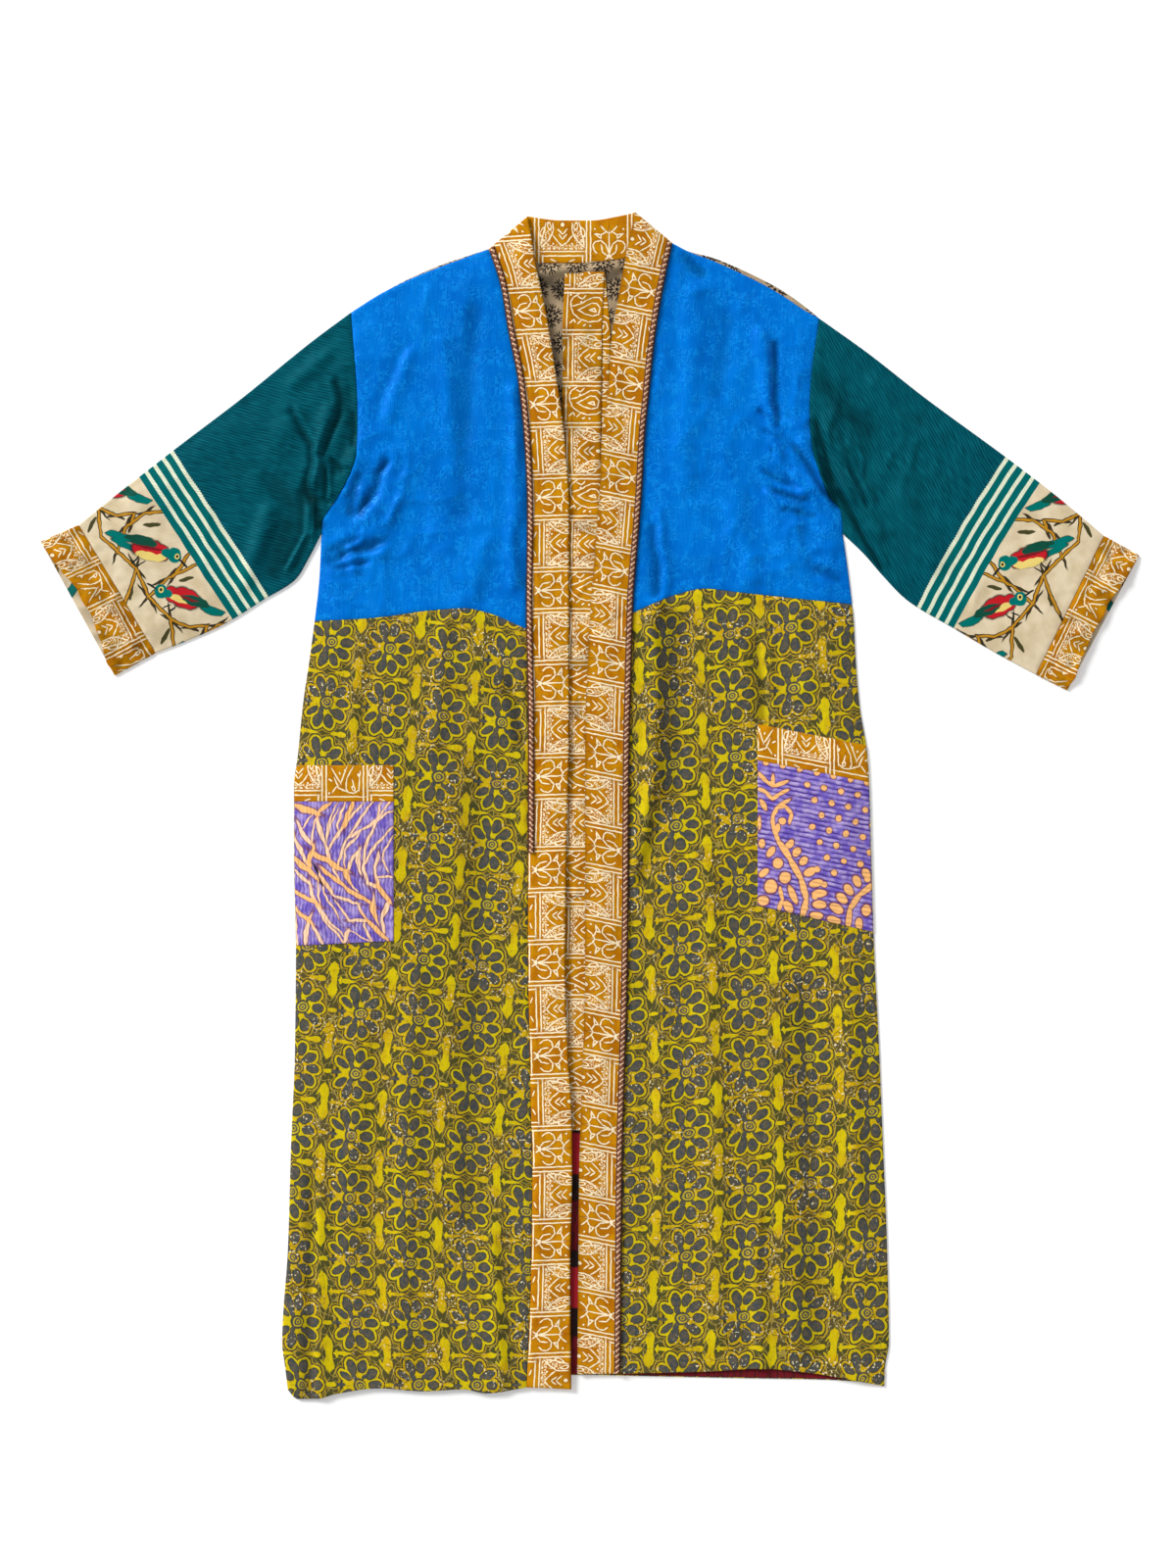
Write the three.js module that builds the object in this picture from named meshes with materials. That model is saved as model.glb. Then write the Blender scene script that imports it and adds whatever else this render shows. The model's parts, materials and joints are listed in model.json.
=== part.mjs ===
// A patchwork kimono robe lying flat on its back, buttonless, with its belt folded inside it.
// Millimetres, +Z up, neck towards +Y. The wearer's right side lies towards -X, the left towards +X.
// The origin is the middle of the underside.
import * as THREE from 'three';

// Cloth thicknesses, each with its seam allowances pressed in
const clothWall = 1.0;
const bandWall = 1.8;
const cuffWall = 1.3;
const pocketWall = 1.1;
const beltWall = 1.0;
const braidWall = 1.1;
const seamGap = 0.3;
const restGap = 0.3;

// Heights of the upper layer's underside above the floor
const foldedEdgeHeight = clothWall + restGap;
const yokeLoft = 3.5;
const skirtLoft = 4.4;
const roundedEdgeWidth = 30;
const beltBulgeYoke = 0.7;
const beltBulgeSkirt = 1.1;
const hemSettle = 0.8;
const hemSettleLength = 70;
const liningInset = 24;

// Levels across the garment
const armpitY = 277;
const backSeamY = 196;
const neckRightX = -103;
const neckLeftX = 84;

// Side edges below the armpits, a row where either side changes its course
const sideRows = [
  { y: 277, right: -274, left: 258 },
  { y: 234, right: -276, left: 264 },
  { y: 188, right: -281, left: 269 },
  { y: 150, right: -286, left: 271 },
  { y: 102, right: -293, left: 275 },
  { y: 52, right: -298, left: 283 },
  { y: 20, right: -302, left: 285 },
  { y: -48, right: -302, left: 287 },
  { y: -148, right: -300, left: 290 },
  { y: -248, right: -301, left: 295 },
  { y: -348, right: -305, left: 299 },
  { y: -448, right: -308, left: 303 },
  { y: -548, right: -314, left: 305 },
  { y: -573, right: -311, left: 301 },
  { y: -598, right: -308, left: 300 },
];

// Armhole seams from the shoulder to the armpit
const rightArmholeRows = [
  { x: -244, y: 503 },
  { x: -239, y: 440 },
  { x: -237, y: 400 },
  { x: -238, y: 358 },
  { x: -246, y: 335 },
  { x: -260, y: 311 },
  { x: -272, y: 294 },
  { x: -274, y: armpitY },
];
const leftArmholeRows = [
  { x: 234, y: 497 },
  { x: 226, y: 439 },
  { x: 224, y: 400 },
  { x: 226, y: 368 },
  { x: 233, y: 342 },
  { x: 243, y: 317 },
  { x: 256, y: 299 },
  { x: 258, y: armpitY },
];

// Shoulder lines: the back yoke rolls forward a little past the front one
const rightShoulderRows = [
  { x: -244, back: 503, front: 503 },
  { x: -212, back: 523, front: 523 },
  { x: -177, back: 541, front: 540 },
  { x: -148, back: 553, front: 551.5 },
  { x: -130, back: 559, front: 558 },
  { x: neckRightX, back: 568, front: 568 },
];
const leftShoulderRows = [
  { x: neckLeftX, back: 574, front: 574 },
  { x: 99, back: 566, front: 566 },
  { x: 125, back: 559, front: 556 },
  { x: 154, back: 547, front: 543 },
  { x: 179, back: 535, front: 530.5 },
  { x: 200, back: 523, front: 518 },
  { x: 218, back: 510, front: 506 },
  { x: 234, back: 497, front: 497 },
];

// Seams between the yoke and the skirt on the two fronts
const rightSeamRows = [
  { x: -281, y: 188 },
  { x: -222, y: 191 },
  { x: -161, y: 199 },
  { x: -128, y: 201 },
  { x: -103, y: 196 },
  { x: -66, y: 180.5 },
];
const leftSeamRows = [
  { x: 45, y: 197 },
  { x: 88, y: 215 },
  { x: 116, y: 221 },
  { x: 154, y: 217 },
  { x: 220, y: 210 },
  { x: 269, y: 205 },
];

// Hems of the two fronts and of the back
const rightHemRows = [
  { x: -308, y: -596 },
  { x: -299, y: -605 },
  { x: -277, y: -604.5 },
  { x: -260, y: -600 },
  { x: -215, y: -594 },
  { x: -170, y: -597 },
  { x: -129, y: -595 },
  { x: -106, y: -599 },
  { x: -64, y: -593 },
];
const leftHemRows = [
  { x: 31, y: -579 },
  { x: 120, y: -577 },
  { x: 171, y: -574 },
  { x: 229, y: -579 },
  { x: 263, y: -585 },
  { x: 300, y: -592 },
];
const backHemRows = [
  { x: -310, y: -596 },
  { x: -200, y: -590 },
  { x: -60, y: -584 },
  { x: -15, y: -581 },
  { x: 75, y: -582.5 },
  { x: 150, y: -584 },
  { x: 235, y: -585.5 },
  { x: 302, y: -590 },
];

// Front bands, a row for each section across: the outer edge's place, then the inner edge's
const rightBandRows = [
  { y: 568, outer: -103, inner: -63, innerY: 601 },
  { y: 530, outer: -91, inner: -55, innerY: 552 },
  { y: 483, outer: -83, inner: -44, innerY: 499 },
  { y: 438, outer: -74, inner: -36, innerY: 449 },
  { y: 398, outer: -69, inner: -29, innerY: 402 },
  { y: 357, outer: -66, inner: -24, innerY: 357 },
  { y: 304, outer: -64, inner: -21, innerY: 304 },
  { y: 202, outer: -65, inner: -21, innerY: 202 },
  { y: 82, outer: -63, inner: -21, innerY: 82 },
  { y: -67, outer: -63, inner: -24, innerY: -67 },
  { y: -158, outer: -63, inner: -25, innerY: -158 },
  { y: -256, outer: -61, inner: -22, innerY: -256 },
  { y: -312, outer: -60, inner: -18.5, innerY: -312 },
  { y: -368, outer: -58.5, inner: -18, innerY: -368 },
  { y: -481, outer: -60, inner: -20, innerY: -481 },
  { y: -593, outer: -64.5, inner: -19, innerY: -595 },
];
const leftBandRows = [
  { y: 574, outer: 84, inner: 46, innerY: 605 },
  { y: 540, outer: 77, inner: 36.5, innerY: 560 },
  { y: 508, outer: 71, inner: 30, innerY: 524 },
  { y: 467, outer: 65, inner: 22, innerY: 478 },
  { y: 418, outer: 60, inner: 18, innerY: 418 },
  { y: 377, outer: 56, inner: 12, innerY: 377 },
  { y: 322, outer: 53, inner: 10, innerY: 322 },
  { y: 270, outer: 49, inner: 6, innerY: 270 },
  { y: 206, outer: 44, inner: 1, innerY: 206 },
  { y: 130, outer: 42, inner: -3, innerY: 130 },
  { y: 73, outer: 40.5, inner: -5, innerY: 73 },
  { y: -168, outer: 38.5, inner: -5, innerY: -168 },
  { y: -290, outer: 35, inner: -8.5, innerY: -290 },
  { y: -368, outer: 33, inner: -11, innerY: -368 },
  { y: -480, outer: 32, inner: -12, innerY: -480 },
  { y: -579, outer: 31, inner: -13, innerY: -580 },
];

// The neck band's two long edges: where it joins the back yoke, and its free top
const neckSeamRows = [
  { x: neckRightX, y: 568 },
  { x: -51, y: 553 },
  { x: -12, y: 553 },
  { x: 36, y: 558 },
  { x: neckLeftX, y: 574 },
];
const neckTopRows = [
  { x: -63, y: 601 },
  { x: -30, y: 597 },
  { x: 2, y: 597 },
  { x: 28, y: 601 },
  { x: 46, y: 605 },
];

// Sleeves: the fold along the top, the underarm, the cuff seam and the cuff's free edge
const rightSleeve = {
  foldRows: [
    { x: -244, y: 503 },
    { x: -283, y: 474 },
    { x: -357, y: 414 },
    { x: -420, y: 366 },
    { x: -484, y: 316 },
    { x: -521, y: 286 },
  ],
  underarmRows: [
    { x: -274, y: armpitY },
    { x: -287, y: 252 },
    { x: -300, y: 231 },
    { x: -333, y: 210 },
    { x: -372, y: 186 },
    { x: -412, y: 168 },
    { x: -443, y: 156 },
  ],
  cuffFold: { x: -560, y: 269 },
  cuffUnder: { x: -485, y: 133 },
  cuffPull: 9,
};
const leftSleeve = {
  foldRows: [
    { x: 234, y: 497 },
    { x: 283, y: 462 },
    { x: 343, y: 415 },
    { x: 426, y: 354 },
    { x: 474, y: 317 },
    { x: 524, y: 275 },
  ],
  underarmRows: [
    { x: 258, y: armpitY },
    { x: 279, y: 257 },
    { x: 299, y: 234 },
    { x: 323, y: 210 },
    { x: 373, y: 180 },
    { x: 414, y: 156 },
    { x: 455, y: 134 },
  ],
  cuffFold: { x: 560, y: 255 },
  cuffUnder: { x: 487, y: 118 },
  cuffPull: 4,
};

// Pockets: the inner edge, and the heights of four level lines at that edge with their slope
const rightPocket = { innerX: -200, top: 41, bandBottom: 4, bottom: -138, slope: 0, bottomSlope: 0.05 };
const leftPocket = { innerX: 171, top: 83, bandBottom: 46, bottom: -102, slope: -0.195, bottomSlope: -0.227 };

// The belt hangs folded from the back neck in two tails, an upper and a lower
const belt = { width: 40, top: 544, upperEnd: -92, lowerEnd: -331 };
const beltRows = [
  { y: 544, upper: -6, lower: -5 },
  { y: 480, upper: -7, lower: 1 },
  { y: 420, upper: -8, lower: 2 },
  { y: 300, upper: -8, lower: -4 },
  { y: 82, upper: -12, lower: -11 },
  { y: -92, upper: -13, lower: -12 },
  { y: -331, upper: -14, lower: -14 },
];

// The braid along the bands' outer edges
const braidWidth = 6.5;
const rightBraidEndY = -48;

// Folds of the upper layer: the points a fold runs through, its half width, and its height,
// below zero for a trough
const foldRows = [
  { line: [[-207, 352], [-231, 298]], width: 11, height: -1.7 },
  { line: [[-196, 360], [-214, 300]], width: 12, height: 1.4 },
  { line: [[-76, 420], [-74, 224]], width: 12, height: 1.2 },
  { line: [[-120, 500], [-132, 300]], width: 16, height: -0.8 },
  { line: [[-262, 252], [-226, 262]], width: 13, height: -1.2 },
  { line: [[191, 505], [197, 429], [212, 345], [240, 306]], width: 11, height: -1.6 },
  { line: [[176, 480], [190, 350]], width: 12, height: 1.4 },
  { line: [[108, 520], [96, 330]], width: 16, height: 1.0 },
  { line: [[-255, 438], [-281, 360], [-286, 300]], width: 11, height: -1.8 },
  { line: [[-302, 300], [-330, 238]], width: 13, height: 1.8 },
  { line: [[-300, 400], [-340, 330]], width: 18, height: 0.9 },
  { line: [[232, 360], [263, 298], [300, 240]], width: 11, height: -1.8 },
  { line: [[246, 374], [304, 278]], width: 12, height: 1.7 },
  { line: [[227, 454], [282, 390]], width: 14, height: -1.2 },
  { line: [[66, 204], [64, 20], [46, -70]], width: 12, height: 1.4 },
  { line: [[86, 190], [84, 0]], width: 14, height: -1.0 },
  { line: [[169, 166], [174, 100]], width: 12, height: -1.0 },
  { line: [[-80, 130], [-72, 60]], width: 12, height: -1.2 },
  { line: [[-284, -370], [-288, -446], [-290, -590]], width: 12, height: -1.1 },
  { line: [[-180, -160], [-196, -560]], width: 22, height: 1.2 },
  { line: [[-118, 40], [-124, -420]], width: 20, height: -0.8 },
  { line: [[118, -60], [132, -540]], width: 22, height: 1.1 },
  { line: [[214, -190], [226, -560]], width: 20, height: -0.9 },
];
const ridgeUnderside = 0.35;

// The back yoke is rucked up into a soft roll under the neck band, which lifts the belt's top
const neckRoll = { x0: -44, x1: 30, y: 556, width: 14, height: 1.6, beltLift: 1.2, liftLength: 30 };

// Facets of the grids
const panelColumns = [7, 5];
const skirtRows = { belowPocket: 15, pocket: 5, pocketBand: 2, abovePocket: 5 };
const yokeRows = { belowArmpit: 3, armhole: 13 };
const sleeveSteps = 11;
const cuffSteps = 2;
const settlePasses = 16;

const mix = (a, b, t) => a + (b - a) * t;

function ease(t) {
  const c = Math.min(1, Math.max(0, t));
  return c * c * (3 - 2 * c);
}

// A smooth curve through a table without overshoot: one column as a function of another.
function through(table, key, value) {
  const rows = [...table].sort((a, b) => a[key] - b[key]);
  const secant = (i) => (rows[i + 1][value] - rows[i][value]) / (rows[i + 1][key] - rows[i][key]);
  const slopes = rows.map((row, i) => {
    if (i === 0) return secant(0);
    if (i === rows.length - 1) return secant(i - 1);
    const before = secant(i - 1);
    const after = secant(i);
    return before * after <= 0 ? 0 : (2 * before * after) / (before + after);
  });
  const last = rows.length - 1;
  return (k) => {
    if (k <= rows[0][key]) return rows[0][value] + slopes[0] * (k - rows[0][key]);
    if (k >= rows[last][key]) return rows[last][value] + slopes[last] * (k - rows[last][key]);
    let i = 0;
    while (rows[i + 1][key] < k) i += 1;
    const span = rows[i + 1][key] - rows[i][key];
    const t = (k - rows[i][key]) / span;
    const hermite = new THREE.Vector4(
      (1 + 2 * t) * (1 - t) ** 2,
      t * (1 - t) ** 2 * span,
      t * t * (3 - 2 * t),
      t * t * (t - 1) * span,
    );
    return hermite.dot(new THREE.Vector4(rows[i][value], slopes[i], rows[i + 1][value], slopes[i + 1]));
  };
}

// Edges as functions
const rightSideX = through(sideRows, 'y', 'right');
const leftSideX = through(sideRows, 'y', 'left');
const rightArmholeX = through(rightArmholeRows, 'y', 'x');
const leftArmholeX = through(leftArmholeRows, 'y', 'x');
const rightOuterX = (y) => (y < armpitY ? rightSideX(y) : rightArmholeX(y));
const leftOuterX = (y) => (y < armpitY ? leftSideX(y) : leftArmholeX(y));
const neckSeamY = through(neckSeamRows, 'x', 'y');
const rightBackShoulderY = through(rightShoulderRows, 'x', 'back');
const leftBackShoulderY = through(leftShoulderRows, 'x', 'back');

function backTopY(x) {
  if (x < neckRightX) return rightBackShoulderY(x);
  return x > neckLeftX ? leftBackShoulderY(x) : neckSeamY(x);
}

const beltMiddle = {
  upper: through(beltRows, 'y', 'upper'),
  lower: through(beltRows, 'y', 'lower'),
};

// The folded edges, where the upper layer comes down onto the lower one
const foldedEdges = [
  sideRows.map((row) => [row.right, row.y]),
  sideRows.map((row) => [row.left, row.y]),
  rightShoulderRows.map((row) => [row.x, row.front]),
  leftShoulderRows.map((row) => [row.x, row.front]),
  [[-103, 568], [-63, 601]],
  [[84, 574], [46, 605]],
  ...[rightSleeve, leftSleeve].flatMap((sleeve) => [
    [...sleeve.foldRows, sleeve.cuffFold].map((row) => [row.x, row.y]),
    [...sleeve.underarmRows, sleeve.cuffUnder].map((row) => [row.x, row.y]),
  ]),
];

function distanceToLine(x, y, [ax, ay], [bx, by]) {
  const along = ((x - ax) * (bx - ax) + (y - ay) * (by - ay)) / ((bx - ax) ** 2 + (by - ay) ** 2);
  const t = Math.min(1, Math.max(0, along));
  return Math.hypot(x - mix(ax, bx, t), y - mix(ay, by, t));
}

const distanceToPath = (x, y, points) => Math.min(
  ...points.slice(1).map((point, i) => distanceToLine(x, y, points[i], point)));

const distanceToFoldedEdge = (x, y) => Math.min(...foldedEdges.map((edge) => distanceToPath(x, y, edge)));

function foldHeight(x, y) {
  return foldRows.reduce((sum, fold) => (
    sum + fold.height * Math.exp(-((distanceToPath(x, y, fold.line) / fold.width) ** 2))), 0);
}

// The upper layer's underside without its folds: it rises from the folded edges to its loft,
// bulges over the belt and settles towards the hem.
function layerHeight(x, y) {
  const inSkirt = ease((backSeamY + 34 - y) / 60);
  const rise = ease(distanceToFoldedEdge(x, y) / roundedEdgeWidth);
  const overBelt = ease((46 - Math.abs(x - beltMiddle.upper(y))) / 22) * ease((y - belt.lowerEnd + 30) / 30);
  const settle = hemSettle * ease(1 - (y + 590) / hemSettleLength);
  const bulge = overBelt * mix(beltBulgeYoke, beltBulgeSkirt, inSkirt);
  const loft = mix(yokeLoft, skirtLoft, inSkirt) - settle + bulge;
  return mix(foldedEdgeHeight, loft, rise);
}

// Folds fade out at the folded edges. A trough goes no lower than the layer beneath,
// and under a ridge the cloth is doubled.
function layerWithFolds(x, y, ridgeShare) {
  const inward = distanceToFoldedEdge(x, y);
  const fold = foldHeight(x, y) * ease(inward / 12);
  const height = layerHeight(x, y) + (fold > 0 ? fold * ridgeShare : fold);
  const overLining = ease((backSeamY + 20 - y) / 20) * ease(inward / (liningInset - 4));
  return Math.max(height, foldedEdgeHeight + overLining * (clothWall + restGap));
}

const undersideZ = (x, y) => layerWithFolds(x, y, ridgeUnderside);
const uppersideZ = (x, y) => layerWithFolds(x, y, 1);

// Grid lines between neighbouring curves, counts[k] of them between curve k and curve k + 1.
function gridLines(curves, counts) {
  const lines = [{ from: curves[0], to: curves[1], t: 0 }];
  counts.forEach((count, k) => {
    for (let i = 1; i <= count; i += 1) lines.push({ from: curves[k], to: curves[k + 1], t: i / count });
  });
  return lines;
}

// Points of a flat panel: its columns run between curves x(y), its rows between curves y(x).
function clothGrid(columnCurves, columnCounts, rowCurves, rowCounts) {
  const columns = gridLines(columnCurves, columnCounts);
  return gridLines(rowCurves, rowCounts).map((row) => columns.map((column) => {
    let x = 0;
    let y = mix(row.from(0), row.to(0), row.t);
    for (let pass = 0; pass < settlePasses; pass += 1) {
      x = mix(column.from(y), column.to(y), column.t);
      y = mix(row.from(x), row.to(x), row.t);
    }
    return [x, y];
  }));
}

// Moves the border points of a grid inwards, so that neighbouring pieces stay a seam's gap apart.
function drawIn(grid, sides, distance = seamGap / 2) {
  const moved = grid.map((row) => row.map((point) => [...point]));
  const pull = (point, inner) => {
    const length = Math.hypot(inner[0] - point[0], inner[1] - point[1]);
    return [0, 1].map((k) => point[k] + ((inner[k] - point[k]) * distance) / length);
  };
  if (sides.includes('first row')) moved[0] = moved[0].map((point, i) => pull(point, grid[1][i]));
  if (sides.includes('last row')) {
    moved[moved.length - 1] = moved.at(-1).map((point, i) => pull(point, grid.at(-2)[i]));
  }
  moved.forEach((row, j) => {
    if (sides.includes('first column')) row[0] = pull(row[0], grid[j][1]);
    if (sides.includes('last column')) row[row.length - 1] = pull(row.at(-1), grid[j].at(-2));
  });
  return moved;
}
const allSides = ['first row', 'last row', 'first column', 'last column'];

const onSurface = (grid, height) => grid.map((row) => row.map(([x, y]) => [x, y, height(x, y)]));

// A closed geometry from points and four-sided faces, turned so that its faces point outwards.
function closedGeometry(points, faces) {
  const triangles = faces.flatMap(([a, b, c, d]) => [[a, b, c], [a, c, d]]);
  const vectors = points.map((point) => new THREE.Vector3(...point));
  const volume = triangles.reduce((sum, [a, b, c]) => (
    sum + vectors[a].dot(new THREE.Vector3().crossVectors(vectors[b], vectors[c]))), 0);
  const index = triangles.flatMap(([a, b, c]) => (volume > 0 ? [a, b, c] : [a, c, b]));
  const geometry = new THREE.BufferGeometry().setFromPoints(vectors);
  geometry.setIndex(index);
  geometry.computeVertexNormals();
  return geometry;
}

// The solid between an upper and a lower grid of points, with a wall round its edge.
function layerGeometry(upper, lower) {
  const rows = upper.length;
  const columns = upper[0].length;
  const at = (side, j, i) => side * rows * columns + j * columns + i;
  const faces = [];
  for (let j = 0; j < rows - 1; j += 1) {
    for (let i = 0; i < columns - 1; i += 1) {
      faces.push([at(0, j, i), at(0, j, i + 1), at(0, j + 1, i + 1), at(0, j + 1, i)]);
      faces.push([at(1, j, i), at(1, j + 1, i), at(1, j + 1, i + 1), at(1, j, i + 1)]);
    }
  }
  for (let j = 0; j < rows - 1; j += 1) {
    faces.push([at(0, j, 0), at(0, j + 1, 0), at(1, j + 1, 0), at(1, j, 0)]);
    const end = columns - 1;
    faces.push([at(0, j, end), at(1, j, end), at(1, j + 1, end), at(0, j + 1, end)]);
  }
  for (let i = 0; i < columns - 1; i += 1) {
    faces.push([at(0, 0, i), at(1, 0, i), at(1, 0, i + 1), at(0, 0, i + 1)]);
    const end = rows - 1;
    faces.push([at(0, end, i), at(0, end, i + 1), at(1, end, i + 1), at(1, end, i)]);
  }
  return closedGeometry([...upper.flat(), ...lower.flat()], faces);
}

// An open tube between outer and inner rings of points.
function tubeGeometry(outer, inner) {
  const rings = outer.length;
  const round = outer[0].length;
  const at = (side, r, i) => side * rings * round + r * round + (i % round);
  const faces = [];
  for (let i = 0; i < round; i += 1) {
    for (let r = 0; r < rings - 1; r += 1) {
      faces.push([at(0, r, i), at(0, r, i + 1), at(0, r + 1, i + 1), at(0, r + 1, i)]);
      faces.push([at(1, r, i), at(1, r + 1, i), at(1, r + 1, i + 1), at(1, r, i + 1)]);
    }
    faces.push([at(0, 0, i), at(1, 0, i), at(1, 0, i + 1), at(0, 0, i + 1)]);
    faces.push([at(0, rings - 1, i), at(0, rings - 1, i + 1), at(1, rings - 1, i + 1), at(1, rings - 1, i)]);
  }
  return closedGeometry([...outer.flat(), ...inner.flat()], faces);
}

const silks = {
  blueJacquard: { color: 0x0a6fd0, roughness: 0.42 },
  flowerPrint: { color: 0x8f8a1e, roughness: 0.8 },
  ochreBatik: { color: 0xc98a1c, roughness: 0.85 },
  tealRibbed: { color: 0x00524f, roughness: 0.6 },
  sprigPrint: { color: 0xb59f7c, roughness: 0.8 },
  darkLining: { color: 0x3a1512, roughness: 0.7 },
  violetPrint: { color: 0x8468c8, roughness: 0.7 },
  twistedBraid: { color: 0x7a4a34, roughness: 0.8 },
};

const garment = new THREE.Group();

function addPiece(name, geometry, cloth) {
  const material = new THREE.MeshStandardMaterial({ ...silks[cloth], metalness: 0 });
  const mesh = new THREE.Mesh(geometry, material);
  mesh.name = name;
  garment.add(mesh);
}

// A panel of the upper layer, or a piece lying a number of walls above it.
function addUpperPiece(name, grid, cloth, thickness, raised = 0) {
  const upper = onSurface(grid, (x, y) => uppersideZ(x, y) + raised + thickness);
  const lower = onSurface(grid, (x, y) => (raised ? uppersideZ(x, y) + raised : undersideZ(x, y)));
  addPiece(name, layerGeometry(upper, lower), cloth);
}

// A level panel of the lower layer.
function addLevelPiece(name, grid, cloth, bottom, thickness, ripple = () => 0) {
  const upper = onSurface(grid, (x, y) => bottom + thickness + ripple(x, y));
  addPiece(name, layerGeometry(upper, onSurface(grid, () => bottom)), cloth);
}

// Back of the body: yoke, skirt, the skirt's lining and the neck band
function addBack() {
  const yokeGrid = clothGrid(
    [rightOuterX, () => neckRightX, () => neckLeftX, leftOuterX],
    [3, 5, 3],
    [() => backSeamY, () => armpitY, backTopY],
    [yokeRows.belowArmpit, yokeRows.armhole],
  );
  const rolled = (x, y) => {
    const away = distanceToLine(x, y, [neckRoll.x0, neckRoll.y], [neckRoll.x1, neckRoll.y]);
    return neckRoll.height * Math.exp(-((away / neckRoll.width) ** 2));
  };
  addLevelPiece('back_yoke', drawIn(yokeGrid, allSides), 'sprigPrint', 0, clothWall, rolled);

  const backHemY = through(backHemRows, 'x', 'y');
  const skirtGrid = clothGrid([rightSideX, leftSideX], [5], [backHemY, () => backSeamY], [14]);
  addLevelPiece('back_skirt', drawIn(skirtGrid, ['last row']), 'flowerPrint', 0, clothWall);

  const liningGrid = clothGrid(
    [(y) => rightSideX(y) + liningInset, (y) => leftSideX(y) - liningInset],
    [5],
    [(x) => backHemY(x) + 1, () => backSeamY - 3],
    [10],
  );
  addLevelPiece('back_skirt_lining', liningGrid, 'darkLining', clothWall + restGap, clothWall);

  const neckTopCurve = new THREE.CatmullRomCurve3(
    neckTopRows.map((row) => new THREE.Vector3(row.x, row.y, 0)), false, 'centripetal');
  const seamPoints = yokeGrid.at(-1).slice(3, 9);
  const topPoints = seamPoints.map((point, i) => neckTopCurve.getPointAt(i / (seamPoints.length - 1)));
  const neckGrid = [0, 0.5, 1].map((t) => seamPoints.map(
    ([x, y], i) => [mix(x, topPoints[i].x, t), mix(y, topPoints[i].y, t)]));
  addLevelPiece('back_neck_band', drawIn(neckGrid, ['first row']), 'ochreBatik', 0, clothWall);

  const armholeRows = yokeGrid.slice(yokeRows.belowArmpit);
  return { right: armholeRows.map((row) => row[0]), left: armholeRows.map((row) => row.at(-1)) };
}

// One front: yoke, skirt, band and braid, pocket and pocket band. Columns run from the band outwards.
function addFront(side, { bandRows, outerX, shoulderRows, seamRows, hemRows, pocket, braidEndY }) {
  const bandOuterX = through(bandRows, 'y', 'outer');
  const bandInnerX = through(bandRows, 'y', 'inner');
  const bandInnerY = through(bandRows, 'y', 'innerY');
  const seamY = through(seamRows, 'x', 'y');
  const hemY = through(hemRows, 'x', 'y');
  const shoulderY = through(shoulderRows, 'x', 'front');
  const pocketLine = (height, slope) => (x) => height + (x - pocket.innerX) * slope;
  const lines = {
    bottom: pocketLine(pocket.bottom, pocket.bottomSlope),
    bandBottom: pocketLine(pocket.bandBottom, pocket.slope),
    top: pocketLine(pocket.top, pocket.slope),
  };

  const pocketTurnX = (y) => {
    const skirtY = Math.min(y, 120);
    const middle = mix(bandOuterX(y), outerX(y), 0.57);
    return mix(pocket.innerX, middle, ease((skirtY - 84) / 36));
  };
  const skirtGrid = clothGrid(
    [bandOuterX, pocketTurnX, outerX],
    panelColumns,
    [hemY, lines.bottom, lines.bandBottom, lines.top, seamY],
    [skirtRows.belowPocket, skirtRows.pocket, skirtRows.pocketBand, skirtRows.abovePocket],
  );
  const skirtPanel = drawIn(skirtGrid, ['last row', 'first column']);
  addUpperPiece(`${side}_front_skirt`, skirtPanel, 'flowerPrint', clothWall);

  const yokeGrid = clothGrid(
    [bandOuterX, pocketTurnX, outerX],
    panelColumns,
    [seamY, () => armpitY, shoulderY],
    [yokeRows.belowArmpit, yokeRows.armhole],
  );
  const yokePanel = drawIn(yokeGrid, ['first row', 'first column', 'last column']);
  addUpperPiece(`${side}_front_yoke`, yokePanel, 'blueJacquard', clothWall);

  const bandEdge = [...skirtGrid, ...yokeGrid.slice(1)].map((row) => row[0]);
  const bandGrid = bandEdge.map(([x, y]) => {
    const inner = [bandInnerX(y), bandInnerY(y)];
    const width = Math.hypot(inner[0] - x, inner[1] - y);
    return [0, braidWidth / width, 0.55, 1].map((t) => [mix(x, inner[0], t), mix(y, inner[1], t)]);
  });
  addUpperPiece(`${side}_front_band`, drawIn(bandGrid, ['first column']), 'ochreBatik', bandWall);

  const braidGrid = bandGrid.filter((row) => row[0][1] >= braidEndY).map((row) => row.slice(0, 2));
  const braidStrip = drawIn(braidGrid, ['first column']);
  addUpperPiece(`${side}_braid`, braidStrip, 'twistedBraid', braidWall, bandWall + restGap);

  const firstPocketRow = skirtRows.belowPocket;
  const pocketSeamRow = firstPocketRow + skirtRows.pocket;
  const pocketTopRow = pocketSeamRow + skirtRows.pocketBand;
  const pocketPart = (from, to) => skirtGrid.slice(from, to + 1).map((row) => row.slice(panelColumns[0]));
  addUpperPiece(`${side}_pocket`, drawIn(pocketPart(firstPocketRow, pocketSeamRow), ['last row']),
    'violetPrint', pocketWall, clothWall + restGap);
  addUpperPiece(`${side}_pocket_band`, drawIn(pocketPart(pocketSeamRow, pocketTopRow), ['first row']),
    'ochreBatik', pocketWall, clothWall + restGap);

  return yokeGrid.slice(yokeRows.belowArmpit).map((row) => row.at(-1));
}

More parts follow.
